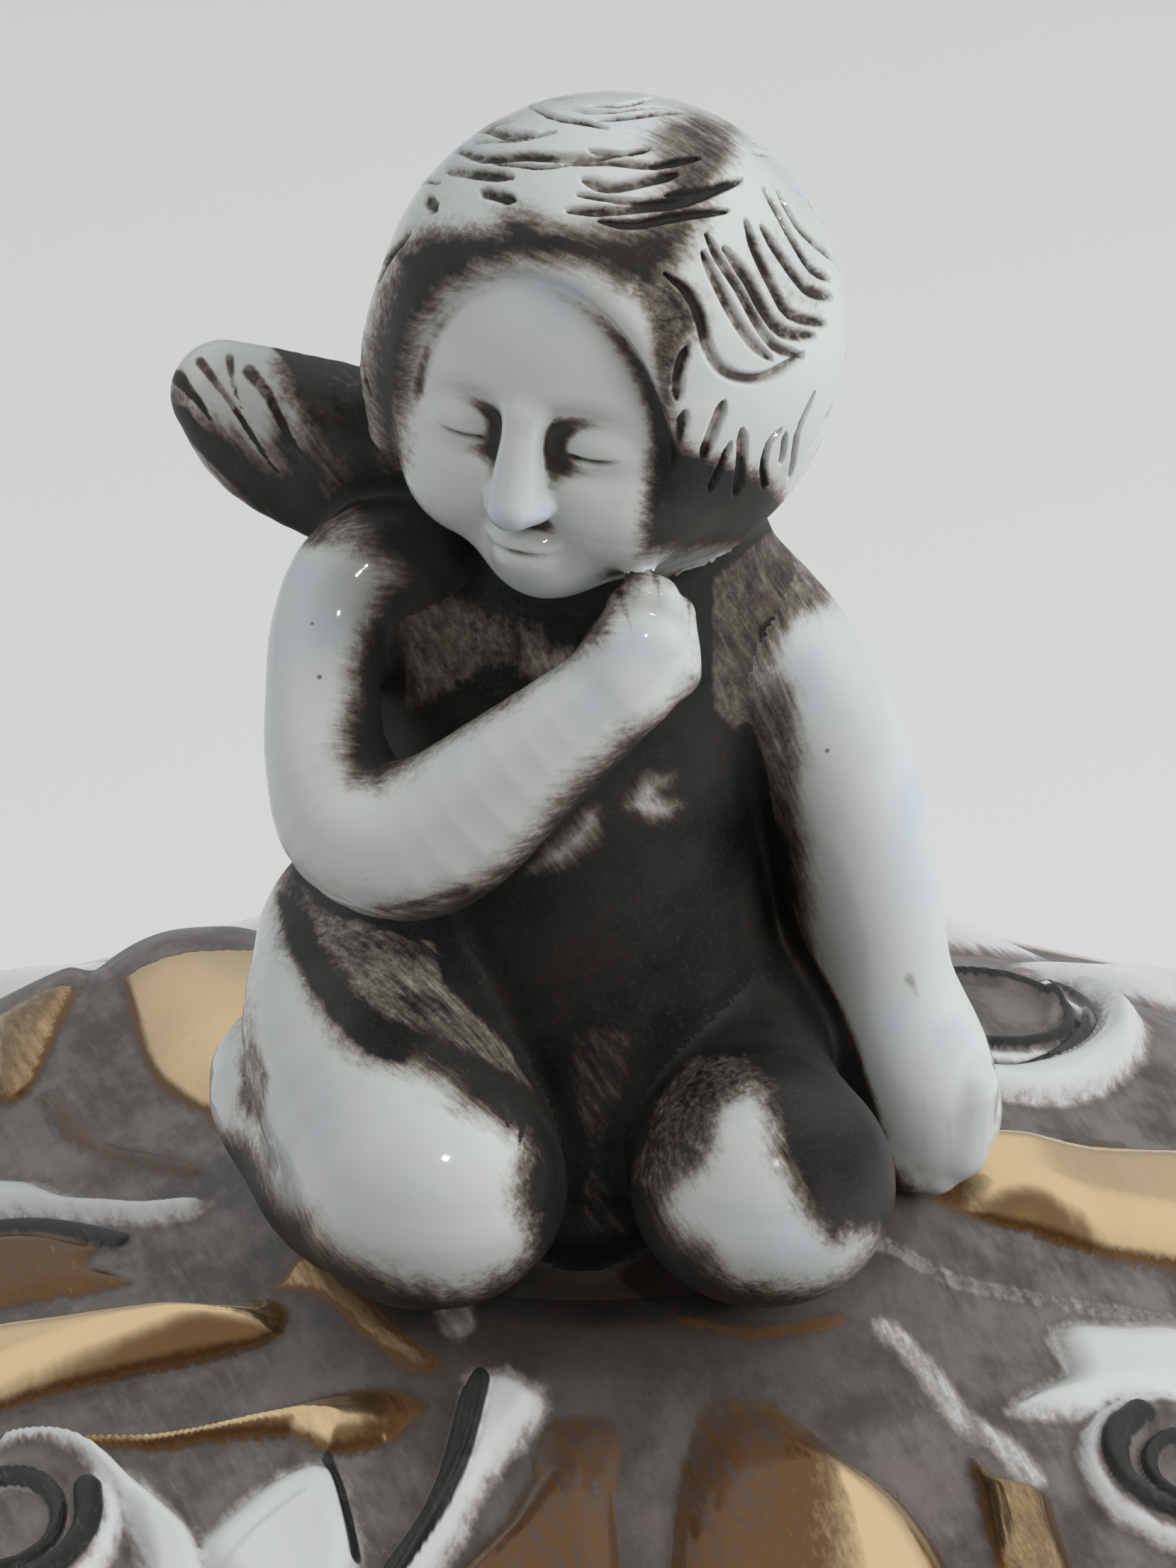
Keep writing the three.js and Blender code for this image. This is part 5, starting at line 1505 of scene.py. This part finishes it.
turn = full_turn(720)
rise = np.linspace(0, math.pi / 2, 100)
section = [(BOWL_SEAT + (BELLY_RADIUS - BOWL_SEAT) * math.sin(a), BELLY_HEIGHT * (1 - math.cos(a)))
           for a in rise]
neck = [section[-1], (BELLY_RADIUS - 0.3, (BELLY_HEIGHT + LIP) / 2), (NECK_RADIUS, LIP)]
lip = [(NECK_RADIUS, LIP), (RIM_RADIUS - 3, LIP + 0.8), (RIM_RADIUS - 0.3, LIP + 2), (RIM_RADIUS, LIP + 3.4),
       (RIM_RADIUS - 0.3, BOWL_HEIGHT - 0.4), (RIM_RADIUS - 1, BOWL_HEIGHT)]
for course, steps in ((neck, 16), (lip, 4)):
    section += smooth_course(np.array(course), steps).tolist()[1:]
radius, climb = (np.repeat(v, len(turn)) for v in np.array(section).T)
flat_turn = np.tile(turn, len(section))
out, gold, white, black = bowl_relief(flat_turn, radius, climb)
reach = radius + out + scallop(flat_turn) * soft_step(climb, LIP - 2, LIP + 1.6)
outside = turned(flat_turn, reach, climb + bowl_low[2])
inside = [(MOUTH_RADIUS + 0.5, BOWL_HEIGHT), (MOUTH_RADIUS, BOWL_HEIGHT - 0.5), (MOUTH_RADIUS, LIP)]
for a in rise[::-4]:
    inside.append(((BELLY_RADIUS - WALL) * math.sin(a), BELLY_HEIGHT - (BELLY_HEIGHT - WALL) * math.cos(a)))
bowl_rings = np.concatenate([outside.reshape(len(section), len(turn), 3),
                             [ring_at(turn, max(r, 0.01), z + bowl_low[2]) for r, z in inside + [(0, 0)]]])
bowl_lustre = lustre_material("bowl_lustre")
bowl = round_piece("bowl_wall", bowl_rings, bowl_lustre, "bowl_body", "bowl")


def wound_grain(points, climb, spread, out):
    """The brush was held to the piece while it turned on the wheel."""
    x, y, z = points.reshape(-1, 3).T
    return np.stack([z * climb, np.arctan2(y, x) * spread, np.hypot(x, y) * out], -1)


# Darker, rougher ground towards the bottom of the bowl
darkening = 0.4 * (1 - soft_step(climb, 0, 12))
paint_piece(bowl, wound_grain(bowl_rings, 1.1, 60, 1), gold, white, black, darkening, other_white=COVERED)

# Foot
# A spreading foot ring with a scalloped edge is luted under the bowl and carries it.
# It is gilded over the stain, which shows as a band in its waist and under its base.

FOOT_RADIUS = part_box("foot")[1][0] / MM - SCALLOP
FOOT_SECTION = ((-11.6, 0), (-2, 0), (-0.3, 0.6), (0, 2), (-0.3, 3.6), (-3.6, 5.4), (-7.6, 8.4), (-9, 11.4),
                (-8, 14), (-14.6, 14), (-13, 8))
WAIST_LEVEL, WAIST_HALF = 10.5, 1.8

turn = full_turn(360)
foot_rings = []
for out, z in smooth_course(np.array(FOOT_SECTION, float), 5):
    foot_rings.append(ring_at(turn, FOOT_RADIUS + out + soft_step(out, -8, 0) * scallop(turn), z))
foot_rings = np.array(foot_rings)
foot = round_piece("foot_ring", foot_rings, bowl_lustre, "bowl_body", "foot")
height = foot_rings[..., 2].ravel()
waist = np.abs(height - WAIST_LEVEL) - WAIST_HALF
paint_piece(foot, wound_grain(foot_rings, 1, 45, 0), gold=painted(np.where(height < 0.2, -2, waist)))

# Handles
# Two scroll handles are pressed in a mould and luted to the ribs at the bowl's two sides.
# They are gilded, and the stain shows in the flutes that run along them.

HANDLE_REACH = RIM_RADIUS + 30 - BELLY_RADIUS
HANDLE_TOP, HANDLE_BOTTOM = bowl_low[2] + 65, bowl_low[2] + 25
FLUTE_DEPTH = 0.10

# Stations of the scroll: place out from the belly, level, half width and half depth
HANDLE_COURSE = smooth_course(np.array([
    (-1.2, HANDLE_TOP - 4, 7.8, 5.2), (0.45 * HANDLE_REACH, HANDLE_TOP + 2, 6.2, 4),
    (0.9 * HANDLE_REACH, HANDLE_TOP - 2, 6.2, 4),
    (HANDLE_REACH - 4, HANDLE_TOP * 0.55 + HANDLE_BOTTOM * 0.45, 6.2, 4),
    (0.62 * HANDLE_REACH, HANDLE_TOP * 0.15 + HANDLE_BOTTOM * 0.85, 5.6, 3.6),
    (-2.2, HANDLE_BOTTOM, 6.8, 4.8)]) + [BELLY_RADIUS, 0, 0, 0], 12)


def handle(name, side):
    around = full_turn(48)
    ways = np.gradient(HANDLE_COURSE[:, :2], axis=0)
    ways /= np.linalg.norm(ways, axis=1, keepdims=True)
    flute = 0.5 * (1 + np.cos(4 * around))
    size = 1 - FLUTE_DEPTH * flute
    rings = []
    for (x, z, wide, deep), (dx, dz) in zip(HANDLE_COURSE, ways):
        across, through = wide * size * np.cos(around), deep * size * np.sin(around)
        rings.append(np.stack([side * (x - through * dz), across, z + through * dx], -1))
    first, last = (end.mean(0) + (end - end.mean(0)) * 0.02 for end in (rings[0], rings[-1]))
    rings = np.array([first, *rings, last])
    if side > 0:
        rings = rings[:, ::-1]
    piece = round_piece("scroll_" + name, rings, bowl_lustre, "bowl_body", name)
    along = np.repeat(np.arange(len(rings)) * 1.2, len(around))
    grain = np.stack([along, np.tile(around * 5, len(rings)), along * 0], -1)
    paint_piece(piece, grain, gold=np.tile(1.6 - 2.2 * flute, len(rings)))


handle("handle_right", 1)
handle("handle_left", -1)
